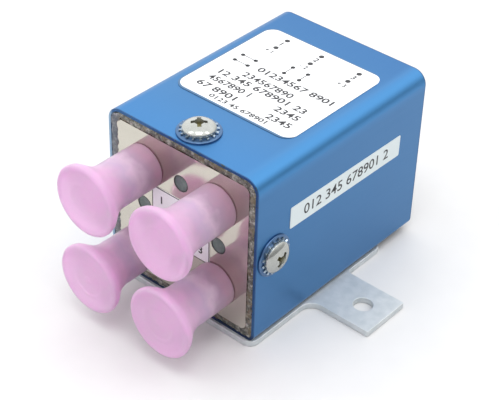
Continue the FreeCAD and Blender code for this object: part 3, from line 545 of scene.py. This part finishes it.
def gather(target, source, turn=Matrix.Identity(4)):
    # adds a copy of source, turned, to target
    mesh = bpy.data.meshes.new("copy")
    source.to_mesh(mesh)
    mesh.transform(turn)
    target.from_mesh(mesh)
    bpy.data.meshes.remove(mesh)


def asPiece(bm, name, slotName, body="switch_body", stands=(), smooth=38, finish=None, flats=False):
    # makes bm a named piece in metres that rides on body and stands for CAD nodes
    bmesh.ops.remove_doubles(bm, verts=bm.verts, dist=0.0002)
    bmesh.ops.recalc_face_normals(bm, faces=bm.faces)
    bmesh.ops.scale(bm, vec=(mm, mm, mm), verts=bm.verts)
    mesh = bpy.data.meshes.new(name)
    bm.to_mesh(mesh)
    bm.free()
    mesh.shade_smooth()
    mesh.set_sharp_from_angle(angle=math.radians(smooth))
    piece = bpy.data.objects.new(name, mesh)
    scene.collection.objects.link(piece)
    if flats:  # broad flat faces keep their shading up to the broken edges
        even = piece.modifiers.new("even", "WEIGHTED_NORMAL")
        even.keep_sharp = True
        even.weight = 100
    mesh.materials.append(finish or finishes[slotName])
    if body:
        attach(piece, body)
    if stands:
        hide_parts(*stands)
    return piece


def turned(profile, steps=64, closed=False):
    # spins a profile of (radius, height, corner rounding) about the z axis
    bm = bmesh.new()
    corners = [bm.verts.new((facts[0], 0, facts[1])) for facts in profile]
    ends = corners[1:] + corners[:1] if closed else corners[1:]
    for first, second in zip(corners, ends):
        bm.edges.new((first, second))
    roundings = [facts[2] if len(facts) > 2 else 0 for facts in profile]
    for size in sorted(set(roundings) - {0}):
        chosen = [corner for corner, own in zip(corners, roundings) if own == size]
        bmesh.ops.bevel(bm, geom=chosen, offset=size, segments=3, profile=0.5, affect="VERTICES", material=-1)
    bmesh.ops.spin(bm, geom=bm.verts[:] + bm.edges[:], cent=(0, 0, 0), axis=(0, 0, 1), dvec=(0, 0, 0),
                   angle=2 * math.pi, steps=steps, use_merge=True, use_duplicate=False)
    bmesh.ops.remove_doubles(bm, verts=bm.verts, dist=0.0002)
    bmesh.ops.recalc_face_normals(bm, faces=bm.faces)
    return bm


def fromCad(node, flat=1.0):
    # a merged copy of a CAD node, its flat faces joined
    bm = bmesh.new()
    bm.from_mesh(frame["nodes"][node].data)
    bmesh.ops.scale(bm, vec=(1 / mm, 1 / mm, 1 / mm), verts=bm.verts)
    bmesh.ops.remove_doubles(bm, verts=bm.verts, dist=0.001)
    bmesh.ops.dissolve_limit(bm, angle_limit=math.radians(flat), use_dissolve_boundaries=False,
                             verts=bm.verts, edges=bm.edges, delimit=set())
    return bm


def breakEdges(bm, width, segments=2, angle=50):
    # bevels every edge that is sharper than angle
    sharp = [edge for edge in bm.edges if edge.is_manifold and edge.calc_face_angle() > math.radians(angle)]
    bmesh.ops.bevel(bm, geom=sharp, offset=width, offset_type="OFFSET", segments=segments, profile=0.5,
                    affect="EDGES", clamp_overlap=True, material=-1)


def openEdges(bm, height):
    return [edge for edge in bm.edges
            if edge.is_boundary and all(abs(vert.co.z - height) < 0.001 for vert in edge.verts)]


def drawOut(bm, edges, rings):
    # carries a loop on through rings of (radius, height)
    for radius, height in rings:
        fresh = bmesh.ops.extrude_edge_only(bm, edges=edges)["geom"]
        verts = {item for item in fresh if isinstance(item, bmesh.types.BMVert)}
        for vert in verts:
            flat = Vector((vert.co.x, vert.co.y, 0)).normalized() * radius
            vert.co = (flat.x, flat.y, height)
        edges = [item for item in fresh if isinstance(item, bmesh.types.BMEdge) and set(item.verts) <= verts]
    return edges


def thread(crest, root, pitch, start, end, steps=36):
    # an open threaded sleeve about the z axis, trimmed square at start and end
    bm = bmesh.new()
    # one tooth: radius, share of the pitch
    tooth = [(root, 0), (root, 0.12), (crest, 0.44), (crest, 0.56), (root, 0.88), (root, 1)]
    corners = [bm.verts.new((radius, 0, start + (share - 1.5) * pitch)) for radius, share in tooth]
    for first, second in zip(corners, corners[1:]):
        bm.edges.new((first, second))
    turns = math.ceil((end - start) / pitch) + 3
    bmesh.ops.spin(bm, geom=bm.verts[:] + bm.edges[:], cent=(0, 0, 0), axis=(0, 0, 1),
                   dvec=(0, 0, pitch / steps), angle=2 * math.pi * turns, steps=steps * turns,
                   use_merge=False, use_duplicate=False)
    bmesh.ops.remove_doubles(bm, verts=bm.verts, dist=0.0005)
    for height, side in ((start, -1), (end, 1)):
        bmesh.ops.bisect_plane(bm, geom=bm.verts[:] + bm.edges[:] + bm.faces[:], dist=0.00001,
                               plane_co=(0, 0, height), plane_no=(0, 0, side), clear_outer=True)
    return bm


def held(bm):
    # a passing object for a modifier to work on
    mesh = bpy.data.meshes.new("held")
    bm.to_mesh(mesh)
    bm.free()
    holder = bpy.data.objects.new("held", mesh)
    scene.collection.objects.link(holder)
    return holder


def carved(bm, cutter):
    # bm with cutter taken out of it
    whole, tool = held(bm), held(cutter)
    carve = whole.modifiers.new("carve", "BOOLEAN")
    carve.operation = "DIFFERENCE"
    carve.solver = "EXACT"
    carve.object = tool
    result = bmesh.new()
    result.from_object(whole, bpy.context.evaluated_depsgraph_get())
    for holder in (whole, tool):
        bpy.data.objects.remove(holder)
    return result


# the can, the bracket and the sealant

shell = {"rimBreak": 0.12, "bracketBreak": 0.14, "headerBreak": 0.2}


def makeShell():
    can = fromCad("cover_can")
    breakEdges(can, shell["rimBreak"])
    asPiece(can, "canShell", "can_blue", stands=["cover_can"], flats=True)
    plate = fromCad("bracket")
    breakEdges(plate, shell["bracketBreak"])
    asPiece(plate, "earPlate", "bracket_steel", stands=["bracket"], flats=True)
    header = fromCad("terminal_header")
    breakEdges(header, shell["headerBreak"])
    asPiece(header, "headerBlock", "header", stands=["terminal_header"], flats=True)


makeShell()
print("can, bracket and header made")

bead = {
    "voxel": 0.2, "skin": 0.3, "lump": 0.8, "swell": 0.22, "proud": 0.16, "stray": 0.3, "seed": 4,
    # on the left it is smeared over the face, from its edge to the end
    "smear": 0.5, "smearRise": 0.06, "smearEdge": -15.75, "smearEnd": -14.4,
}


def makeBead():
    holder = held(fromCad("face_seal"))
    remesh = holder.modifiers.new("remesh", "REMESH")
    remesh.mode = "VOXEL"
    remesh.voxel_size = bead["voxel"]
    bm = bmesh.new()
    bm.from_object(holder, bpy.context.evaluated_depsgraph_get())
    bpy.data.objects.remove(holder)
    low = boxOf("face_seal")[0]
    front = [vert for vert in bm.verts if vert.co.y < low.y + bead["skin"]]
    noise.seed_set(bead["seed"])  # noise_vector draws its offsets from this
    for vert in front:
        lump = noise.noise(vert.co / bead["lump"]) + 0.5 * noise.noise(vert.co / bead["lump"] * 3)
        stray = noise.noise_vector(vert.co / bead["lump"] + Vector((9, 9, 9))) * bead["stray"]
        smear = max(0, min(1, vert.co.x - bead["smearEdge"])) if vert.co.x < bead["smearEnd"] else 0
        swell = bead["swell"] * (0.5 + 0.5 * lump) - bead["proud"] - bead["smearRise"] * smear
        vert.co += Vector((stray.x + smear * bead["smear"], swell, stray.z))
    bmesh.ops.smooth_vert(bm, verts=front, factor=0.5, use_axis_x=False, use_axis_y=True, use_axis_z=False)
    asPiece(bm, "sealBead", "sealant", stands=["face_seal"], smooth=60)


makeBead()
print("sealant laid")

plug = {
    "radius": 1.6, "rimWidth": 0.24, "depth": 1.9, "steps": 40,
    # how the resin sinks: under the face at its edge and in its middle, and the middle's share
    "edgeDip": 0.04, "dip": 0.14, "dipShare": 0.6,
    "rimTop": 0.02, "rimInner": -0.03,
}


def makePlugs():
    low, high = boxOf("guide_plugs")
    middle = (low + high) / 2
    radius, depth = plug["radius"], plug["depth"]
    reach = (high.x - low.x) / 2 - radius
    resin, collar = bmesh.new(), bmesh.new()
    inner = radius - plug["rimWidth"]
    disc = turned([(0, -depth), (inner, -depth), (inner, -plug["edgeDip"], 0.05),
                   (inner * plug["dipShare"], -plug["dip"]), (0, -plug["dip"])], plug["steps"])
    ring = turned([(inner, -depth), (radius, -depth), (radius, plug["rimTop"], 0.03),
                   (inner, plug["rimInner"], 0.03)], plug["steps"], closed=True)
    for across, up in ((0, 1), (1, 0), (0, -1), (-1, 0)):
        at = Matrix.Translation((across * reach, low.y, middle.z + up * reach)) @ outward["front"]
        gather(resin, disc, at)
        gather(collar, ring, at)
    asPiece(resin, "plugDiscs", "plug_resin", stands=["guide_plugs"])
    asPiece(collar, "plugRims", "plug_resin", finish=rim)


makePlugs()
print("filled guide holes made")


# the jacks and their dust caps

jack = {
    "crest": 3.175, "root": 2.78, "pitch": 0.7056, "steps": 40,
    "mouth": 9.2, "chamfer": 0.3, "threadStart": 1.7, "edge": 0.1,
    "bore": 2.3, "seat": 7.3, "insulatorBore": 2.05, "back": -4.6, "screwedIn": 3.0,
    "shoulder": 3.15, "shoulderTop": 0.9, "undercut": 2.8,
}


def onFace(node):
    # the place on the face in front of node, looking outward
    middle = middleOf(node)
    return Matrix.Translation((middle.x, boxOf("rf_body")[0].y, middle.z)) @ outward["front"]


def makeJack(number):
    mouth, start, edge, bore = jack["mouth"], jack["threadStart"], jack["edge"], jack["bore"]
    shoulder, shoulderTop = jack["shoulder"], jack["shoulderTop"]
    threadEnd = mouth - jack["chamfer"]
    bm = thread(jack["crest"], jack["root"], jack["pitch"], start, threadEnd, jack["steps"])
    outerLoop = openEdges(bm, threadEnd)
    startLoop = openEdges(bm, start)
    lastLoop = drawOut(bm, outerLoop, [
        (jack["root"], mouth), (bore + edge, mouth), (bore, mouth - edge), (bore, jack["seat"]),
        (jack["insulatorBore"], jack["seat"]), (jack["insulatorBore"], jack["back"]),
        (jack["screwedIn"], jack["back"]), (jack["screwedIn"], 0),
        (shoulder, 0), (shoulder, shoulderTop - edge), (shoulder - edge, shoulderTop),
        (jack["undercut"], shoulderTop), (jack["undercut"], start - edge),
    ])
    bmesh.ops.bridge_loops(bm, edges=lastLoop + startLoop)
    bm.transform(onFace(f"jack_contact_{number}"))
    asPiece(bm, f"jackBarrel{number}", "jack_steel", stands=[f"jack_shell_{number}"], smooth=30)


cap = {
    "bore": 3.225, "boreEnd": 11.6, "boreRound": 0.5, "sleeve": 4.15,
    "mouth": 0.14, "mouthInner": 0.1, "mouthOuter": 0.12, "face": 14.3, "steps": 112,
    # the outside from the sleeve to the rim: radius, height
    "flare": [(4.16, 8.3), (4.22, 9.0), (4.38, 9.7), (4.66, 10.4), (5.06, 11.1), (5.55, 11.8),
              (6.08, 12.5), (6.42, 13.0), (6.55, 13.45), (6.55, 13.95)],
    # the flange face, its rings and gate mark: radius, depth under the face, rounding
    "rings": [(6.3, 0, 0.22), (5.75, 0, 0.15), (5.45, 0.1, 0.2), (3.75, 0.12, 0.1), (3.5, 0.08, 0.15),
              (3.1, 0.08, 0.15), (2.85, 0.14, 0.1), (0.75, 0.14, 0.1), (0.5, 0.08, 0.1), (0, 0.08, 0)],
}


def makeCap(number):
    bore, mouth = cap["bore"], cap["mouth"]
    profile = [(0, cap["boreEnd"]), (bore, cap["boreEnd"], cap["boreRound"]),
               (bore, mouth, cap["mouthInner"]), (cap["sleeve"], mouth, cap["mouthOuter"])]
    profile += cap["flare"]
    profile += [(radius, cap["face"] - depth, rounding) for radius, depth, rounding in cap["rings"]]
    bm = turned(profile, cap["steps"])
    bm.transform(onFace(f"dust_cap_{number}"))
    asPiece(bm, f"pullCap{number}", "cap_pink", f"cap_{number}", [f"dust_cap_{number}"], smooth=60)


for port in (1, 2, 3, 4):
    makeJack(port)
    makeCap(port)
print("jacks and dust caps made")


# screws and washers on the can

washer = {
    "hole": 1.55, "radius": 3.9, "thick": 0.35, "steps": 56,
    "ring": 2.95, "toothTip": 3.4, "lockThick": 0.28, "teeth": 16, "twist": 30,
}
screw = {
    "seat": washer["thick"] + washer["lockThick"] + 0.02,
    "head": 2.9, "headRound": 0.12, "side": 0.4, "sideRound": 0.06, "height": 1.43, "steps": 56,
    # the crown: radius, drop under the top, and how fast it curves away
    "crown": [(2.72, 0.84), (2.42, 0.6), (2.02, 0.39), (1.5, 0.21), (0.9, 0.08)], "curve": 0.1,
    # the driver's cross: the shares of reach and hub are at the top and at the bottom,
    # and its cutters stand this far over the top
    "armReach": 1.5, "armWidth": 0.7, "armShares": (1.15, 0.6), "armOver": 0.6, "recess": 1.15,
    "hub": 0.85, "hubShares": (1.1, 0.7), "hubOver": 0.4, "hubSteps": 24,
    "shank": 1.5, "root": 1.2, "pitch": 0.5, "grip": 4.95, "tip": 0.3, "neck": -0.6, "threadSteps": 24,
}
# side of the can: (its direction, how far the driver's cross is turned)
spots = {"up": ((0, 0, 1), 44), "right": ((1, 0, 0), 50), "left": ((-1, 0, 0), 15)}


def crossCutter(top):
    # the driver's cross: a block whose sides are drawn out into four tapering arms
    bm = bmesh.new()
    bmesh.ops.create_cube(bm, size=1)
    half = screw["armWidth"] / 2
    bmesh.ops.scale(bm, vec=(2 * half, 2 * half, screw["recess"] + screw["armOver"]), verts=bm.verts)
    bmesh.ops.translate(bm, vec=(0, 0, top + (screw["armOver"] - screw["recess"]) / 2), verts=bm.verts)
    sides = [face for face in bm.faces if abs(face.normal.z) < 0.5]
    for face in bmesh.ops.extrude_discrete_faces(bm, faces=sides)["faces"]:
        way = face.normal.copy()
        for vert in face.verts:
            low = vert.co.z < top - screw["recess"] / 2
            vert.co += way * (screw["armReach"] - half) * screw["armShares"][low]
    bmesh.ops.recalc_face_normals(bm, faces=bm.faces)
    return bm


def hubCutter(top):
    # the cone that joins the arms
    bm = bmesh.new()
    wide, narrow = (screw["hub"] * share for share in screw["hubShares"])
    bmesh.ops.create_cone(bm, cap_ends=True, segments=screw["hubSteps"], radius1=narrow, radius2=wide,
                          depth=screw["recess"] + screw["hubOver"])
    bmesh.ops.translate(bm, vec=(0, 0, top + (screw["hubOver"] - screw["recess"]) / 2), verts=bm.verts)
    return bm


def makeScrew():
    seat, radius, root = screw["seat"], screw["head"], screw["root"]
    top = seat + screw["height"]
    profile = [(0, seat), (radius, seat, screw["headRound"]),
               (radius, seat + screw["side"], screw["sideRound"])]
    profile += [(away, top - drop) for away, drop in screw["crown"]] + [(0, top)]
    head = carved(turned(profile, screw["steps"]), crossCutter(top))
    head = carved(head, hubCutter(top))
    end, neck = -screw["grip"], screw["neck"]
    shank = thread(screw["shank"], root, screw["pitch"], end + screw["tip"], neck, screw["threadSteps"])
    tipLoop = openEdges(shank, end + screw["tip"])
    neckLoop = openEdges(shank, neck)
    drawOut(shank, tipLoop, [(root, end), (0.001, end)])
    drawOut(shank, neckLoop, [(root, neck + 0.1), (root, seat + 0.1), (0.001, seat + 0.1)])
    gather(head, shank)
    shank.free()
    return head


def markCross(piece, seats):
    # writes 1 on the points that lie inside a driver's cross, where the finish paints shade
    marks = piece.data.attributes.new("inCross", "FLOAT", "POINT").data
    seat = screw["seat"]
    for place in seats:
        back = place.inverted()
        for index, vert in enumerate(piece.data.vertices):
            own = back @ (vert.co / mm)
            away = own.xy.length
            crown = seat + screw["height"] - screw["curve"] * away ** 2
            if away < screw["armReach"] * 1.2 and seat + 0.1 < own.z < crown - 0.12:
                marks[index].value = 1


def makeFlatWasher():
    hole, radius, thick = washer["hole"], washer["radius"], washer["thick"]
    return turned([(hole, 0, 0.06), (radius, 0, 0.1), (radius, thick, 0.14), (hole, thick, 0.06)],
                  washer["steps"], closed=True)


def makeLockWasher():
    hole, ring, base = washer["hole"], washer["ring"], washer["thick"]
    top = base + washer["lockThick"]
    bm = turned([(hole, base), (ring, base), (ring, top), (hole, top)], washer["teeth"] * 3, closed=True)
    middles = {face: face.calc_center_median() for face in bm.faces}
    rimFaces = [face for face in bm.faces
                if middles[face].xy.length > ring * 0.95 and abs(face.normal.z) < 0.5]
    rimFaces.sort(key=lambda face: math.atan2(middles[face].y, middles[face].x))
    # every third face of the rim becomes a twisted tooth
    for face in bmesh.ops.extrude_discrete_faces(bm, faces=rimFaces[::3])["faces"]:
        middle = face.calc_center_median()
        way = face.normal.copy()
        bmesh.ops.translate(bm, vec=way * (washer["toothTip"] - ring), verts=face.verts)
        bmesh.ops.rotate(bm, cent=middle, verts=face.verts,
                         matrix=Matrix.Rotation(math.radians(washer["twist"]), 3, way))
    return bm


def makeFasteners():
    low, high = boxOf("cover_can")
    depth = middleOf("cover_screws").y
    middle = Vector(((low.x + high.x) / 2, depth, (low.z + high.z) / 2))
    half = (high.x - low.x) / 2
    seats = [Matrix.Translation(middle + Vector(way) * half) @ outward[side]
             @ Matrix.Rotation(math.radians(angle), 4, "Z") for side, (way, angle) in spots.items()]
    for name, node, slotName, pattern, steel in (
            ("coverScrews", "cover_screws", "screw_nickel", makeScrew(), None),
            ("flatWashers", "flat_washers", "washer_steel", makeFlatWasher(), None),
            ("toothWashers", "lock_washers", "washer_steel", makeLockWasher(), toothSteel)):
        everyOne = bmesh.new()
        for seat in seats:
            gather(everyOne, pattern, seat)
        piece = asPiece(everyOne, name, slotName, stands=[node], smooth=32, finish=steel)
        if name == "coverScrews":
            markCross(piece, seats)


makeFasteners()
print("cover screws and washers made")


# labels and their print

lettering = {
    "thick": 0.02, "sink": 0.002, "tall": 0.72, "bold": 0.022, "thin": 0.004,
    "dot": 0.5, "portDot": 0.42, "line": 0.16, "dotSteps": 20,
}
proud = lettering["thick"] / 2 - lettering["sink"]  # the ink's middle over the paper
# text, left end, right end (none for a text as wide as its height asks), middle height, letter height
topPrint = [
    ("01234567 8901", -5.5, 11.0, 5.0, 1.5),
    ("234567890", -6.4, 4.6, 2.05, 1.5),
    ("12 345 678901 23", -10.0, 9.3, -0.1, 1.5),
    ("4567890 1", -10.3, -1.0, -2.5, 1.5), ("2345", 4.6, 9.8, -2.5, 1.5),
    ("67 8901", -10.6, -2.0, -5.05, 1.5), ("2345", 5.0, 10.2, -5.15, 1.5),
    ("0123 45 678901", -6.2, 6.4, -6.95, 1.05),
    ("1", -8.0, None, 14.15, 1.3), ("+ 1", -8.2, None, 10.95, 1.0),
    ("2", 0.0, None, 14.15, 1.3), ("- 2", -0.2, None, 10.95, 1.0),
    ("3", 8.4, None, 14.15, 1.3), ("+ 3", 8.2, None, 10.95, 1.0),
]
topDots = [(x, y) for x in (-7.92, 0.0, 8.4) for y in (15.65, 12.45)]
# plain diagrams of the four ports, in both positions: left, right, bottom, top, joined across
topDiagrams = [(-10.6, -7.6, 4.4, 6.6, True), (-1.4, 2.0, 6.9, 9.4, False)]
sidePrint = [("012 345 678901 2", -11.6, 11.7, 0.1, 2.05)]
facePrint = [("1", -4.4, None, 2.9, 1.5), ("2", 4.6, None, 2.9, 1.5), ("3", 4.6, None, -2.9, 1.5),
             ("4", -4.6, None, -2.9, 1.5)]


def addText(bm, turn, text, left, right, middle, height, weight="bold"):
    curve = bpy.data.curves.new("lettering", "FONT")
    curve.body = text
    curve.extrude = lettering["thick"] / 2
    curve.offset = lettering[weight]
    curve.resolution_u = 4
    holder = bpy.data.objects.new("lettering", curve)
    scene.collection.objects.link(holder)
    mesh = bpy.data.meshes.new_from_object(holder.evaluated_get(bpy.context.evaluated_depsgraph_get()))
    bpy.data.objects.remove(holder)
    places = [vert.co for vert in mesh.vertices]
    low = Vector((min(p.x for p in places), min(p.y for p in places), 0))
    high = Vector((max(p.x for p in places), max(p.y for p in places), 0))
    size = high - low
    widen = height / lettering["tall"] if right is None else (right - left) / size.x
    centre = left if right is None else (left + right) / 2
    fit = Matrix.Diagonal((widen, height / lettering["tall"], 1, 1))
    mesh.transform(turn @ Matrix.Translation((centre, middle, 0)) @ fit
                   @ Matrix.Translation((-(low.x + high.x) / 2, -lettering["tall"] / 2, 0)))
    bm.from_mesh(mesh)
    bpy.data.meshes.remove(mesh)


def addBar(bm, turn, left, right, bottom, top):
    bar = bmesh.new()
    bmesh.ops.create_cube(bar, size=1)
    bmesh.ops.scale(bar, vec=(right - left, top - bottom, lettering["thick"]), verts=bar.verts)
    bmesh.ops.translate(bar, vec=((left + right) / 2, (bottom + top) / 2, 0), verts=bar.verts)
    gather(bm, bar, turn)
    bar.free()


def addDot(bm, turn, x, y, radius):
    dot = bmesh.new()
    bmesh.ops.create_cone(dot, cap_ends=True, segments=lettering["dotSteps"], radius1=radius, radius2=radius,
                          depth=lettering["thick"])
    gather(bm, dot, turn @ Matrix.Translation((x, y, 0)))
    dot.free()


def addDiagram(bm, turn, left, right, bottom, top, across):
    half = lettering["line"] / 2
    for y in (top, bottom):
        for x in (left, right):
            addDot(bm, turn, x, y, lettering["portDot"])
    if across:
        for y in (top, bottom):
            addBar(bm, turn, left, right, y - half, y + half)
    else:
        for x in (left, right):
            addBar(bm, turn, x - half, x + half, bottom, top)


def makeTopPrint():
    turn = Matrix.Translation((0, 0, boxOf("top_label")[1].z + proud))
    bm = bmesh.new()
    for line in topPrint:
        addText(bm, turn, *line)
    for x, y in topDots:
        addDot(bm, turn, x, y, lettering["dot"])
    for diagram in topDiagrams:
        addDiagram(bm, turn, *diagram)
    asPiece(bm, "topPrint", None, finish=ink)


# the side label was put on by hand, a little high and not quite level, and so was its print
sideLabel = {"lift": 0.25, "tilt": 0.5, "printTilt": -0.9}


def makeSideLabel():
    middle = middleOf("side_label")
    lift = Matrix.Translation((0, 0, sideLabel["lift"]))
    tilt = Matrix.Rotation(math.radians(sideLabel["tilt"]), 4, "X")
    printTilt = Matrix.Rotation(math.radians(sideLabel["printTilt"]), 4, "X")
    sticker = fromCad("side_label")
    sticker.transform(lift @ Matrix.Translation(middle) @ tilt @ Matrix.Translation(-middle))
    asPiece(sticker, "sideLabel", "label_white", stands=["side_label"])
    place = Matrix.Translation((boxOf("side_label")[1].x + proud, middle.y, middle.z))
    bm = bmesh.new()
    for line in sidePrint:
        addText(bm, place @ lift @ printTilt @ outward["right"], *line, weight="thin")
    asPiece(bm, "sidePrint", None, finish=ink)


def makeFacePrint():
    low, high = boxOf("face_label")
    middle = (low + high) / 2
    turn = Matrix.Translation((middle.x, low.y - proud, middle.z)) @ outward["front"]
    bm = bmesh.new()
    for line in facePrint:
        addText(bm, turn, *line)
    # the frame round the label
    half, inset = lettering["line"] / 2, 0.1
    reach, rise = high.x - inset, (high.z - low.z) / 2 - inset
    for side in (-1, 1):
        addBar(bm, turn, -reach, reach, side * rise - half, side * rise + half)
        addBar(bm, turn, side * reach - half, side * reach + half, -rise, rise)
    asPiece(bm, "facePrint", None, finish=ink)


makeTopPrint()
makeSideLabel()
makeFacePrint()
print("print laid on the labels")


# pieces inside and behind

def coil(meanRadius, wireRadius, sections, steps, sides):
    # a helix of round wire about the z axis from z = 0; sections are (turns, pitch)
    bm = bmesh.new()
    bmesh.ops.create_circle(bm, segments=sides, radius=wireRadius)
    bmesh.ops.rotate(bm, cent=(0, 0, 0), matrix=Matrix.Rotation(math.pi / 2, 3, "X"), verts=bm.verts)
    bmesh.ops.translate(bm, vec=(meanRadius, 0, wireRadius), verts=bm.verts)
    last = bm.verts[:] + bm.edges[:]
    for turns, pitch in sections:
        count = round(turns * steps)
        last = bmesh.ops.spin(bm, geom=last, cent=(0, 0, 0), axis=(0, 0, 1), dvec=(0, 0, pitch / steps),
                              angle=2 * math.pi * count / steps, steps=count, use_merge=False,
                              use_duplicate=False)["geom_last"]
    bmesh.ops.remove_doubles(bm, verts=bm.verts, dist=0.0005)
    bmesh.ops.holes_fill(bm, edges=[edge for edge in bm.edges if edge.is_boundary], sides=sides)
    return bm


spring = {
    "wire": 0.2, "mean": 1.45, "closedTurns": 1, "openTurns": 2.5, "steps": 28, "sides": 8,
    "fixedEnd": -10.4,  # where the end that stays with the body lies along Y
}


def makeSpring(side):
    low, high = boxOf(f"return_spring_{side}")
    middle = (low + high) / 2
    diameter = 2 * spring["wire"]
    rest = high.y - low.y - diameter - 2 * spring["closedTurns"] * diameter
    closed = (spring["closedTurns"], diameter)
    opened = (spring["openTurns"], rest / spring["openTurns"])
    bm = coil(spring["mean"], spring["wire"], [closed, opened, closed], spring["steps"], spring["sides"])
    bm.transform(Matrix.Translation((middle.x, low.y, middle.z)) @ outward["back"])
    piece = asPiece(bm, "returnCoil" + side.title(), "spring_steel", None, [f"return_spring_{side}"],
                    smooth=70)
    # the ends in order of their distance from fixedEnd; nothing reads them
    ends = sorted((low.y, high.y), key=lambda depth: abs(depth - spring["fixedEnd"]))
    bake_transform(piece)


# coreInset keeps the core under the turns back from the bobbin's cheeks
winding = {"wire": 0.14, "steps": 32, "sides": 6, "core": 3.12, "coreInset": 0.02, "coreSteps": 48}


def makeWinding(side):
    low, high = boxOf(f"coil_winding_{side}")
    middle = (low + high) / 2
    length = high.y - low.y
    radius = winding["wire"]
    mean = (high.x - low.x) / 2 - radius
    turns = math.floor(length / (2 * radius)) - 1
    bm = coil(mean, radius, [(turns, (length - 2 * radius) / turns)], winding["steps"], winding["sides"])
    inner, near, far = winding["core"], winding["coreInset"], length - winding["coreInset"]
    core = turned([(inner, near), (mean, near), (mean, far), (inner, far)], winding["coreSteps"], closed=True)
    gather(bm, core)
    core.free()
    bm.transform(Matrix.Translation((middle.x, low.y, middle.z)) @ outward["back"])
    asPiece(bm, "windingTurns" + side.title(), "copper_wire", stands=[f"coil_winding_{side}"], smooth=60)


for side in ("top", "right", "bottom", "left"):
    makeSpring(side)
for side in ("left", "right"):
    makeWinding(side)
print("springs and windings wound")

turret = {
    "pin": 0.5, "pinRound": 0.1, "collar": 0.85, "foot": 0.5, "waist": 0.42, "waistStart": 0.62,
    "round": 0.08, "steps": 32,
    # the outside from the waist to the tip: radius, distance under the tip, rounding
    "neck": [(0.42, 1.9, 0.08), (0.85, 1.8, 0.08), (0.85, 1.4, 0.08), (0.42, 1.3, 0.08), (0.42, 0.62, 0.08),
             (0.85, 0.5, 0.08), (0.85, 0.05, 0.12)],
}


def makeTerminals():
    low, high = boxOf("terminals")
    headerBack = boxOf("terminal_header")[1].y
    length = high.y - headerBack
    inside = low.y - headerBack
    collar, pin, rounding = turret["collar"], turret["pin"], turret["round"]
    profile = [(0, inside), (pin, inside, turret["pinRound"]), (pin, 0), (collar, 0, rounding),
               (collar, turret["foot"], rounding), (turret["waist"], turret["waistStart"], rounding)]
    profile += [(radius, length - under, own) for radius, under, own in turret["neck"]] + [(0, length)]
    pattern = turned(profile, turret["steps"])
    bm = bmesh.new()
    middle = (low + high) / 2
    reachX, reachZ = (high.x - low.x) / 2 - collar, (high.z - low.z) / 2 - collar
    for across in (-1, 0, 1):
        for rise in (-1, 1):
            at = Vector((middle.x + across * reachX, headerBack, middle.z + rise * reachZ))
            gather(bm, pattern, Matrix.Translation(at) @ outward["back"])
    pattern.free()
    asPiece(bm, "turretPins", "terminal", stands=["terminals"], smooth=35)


makeTerminals()
print("terminals made")

# the band runs from bandStart to bandEnd short of the diode's end
diode = {"radius": 0.6, "length": 3.4, "round": 0.15, "bandStart": 1.0, "bandEnd": 0.4, "bandProud": 0.012,
         "bandSink": 0.02, "steps": 28}


def makeDiodes():
    low, high = boxOf("diodes")
    middle = (low + high) / 2
    radius, half, rounding = diode["radius"], diode["length"] / 2, diode["round"]
    reachX, reachZ = high.x - half, (high.z - low.z) / 2 - radius
    body = turned([(0, -half), (radius, -half, rounding), (radius, half, rounding), (0, half)],
                  diode["steps"])
    under, over = radius - diode["bandSink"], radius + diode["bandProud"]
    start, end = half - diode["bandStart"], half - diode["bandEnd"]
    band = turned([(under, start), (over, start), (over, end), (under, end)], diode["steps"], closed=True)
    bodies, bands = bmesh.new(), bmesh.new()
    for across in (-1, 1):
        for rise in (-1, 1):
            at = Vector((across * reachX, middle.y, middle.z + rise * reachZ))
            turn = Matrix.Translation(at) @ outward["right"]
            gather(bodies, body, turn)
            gather(bands, band, turn)
    asPiece(bodies, "diodeBodies", "diode", stands=["diodes"])
    # the bands take the washers' finish, painted reflection and shade included
    asPiece(bands, "diodeBands", "diode", finish=finishes["washer_steel"])


makeDiodes()
print("diodes made")


# what stays as the CAD made it takes its finish here

for entry in frame["record"]["subparts"]:
    keptMesh = frame["nodes"][entry["node"]].data
    keptMesh.materials.clear()
    keptMesh.materials.append(finishes[entry["material_slot"]])


def makeFloor():
    bm = bmesh.new()
    bmesh.ops.create_grid(bm, x_segments=1, y_segments=1, size=studio["floorSize"] / 2)
    bmesh.ops.translate(bm, vec=(0, 0, -studio["floorDrop"]), verts=bm.verts)
    mesh = bpy.data.meshes.new("floor")
    bm.to_mesh(mesh)
    bm.free()
    mesh.materials.append(paleFloor())
    floor = bpy.data.objects.new("floor", mesh)
    scene.collection.objects.link(floor)


makeFloor()
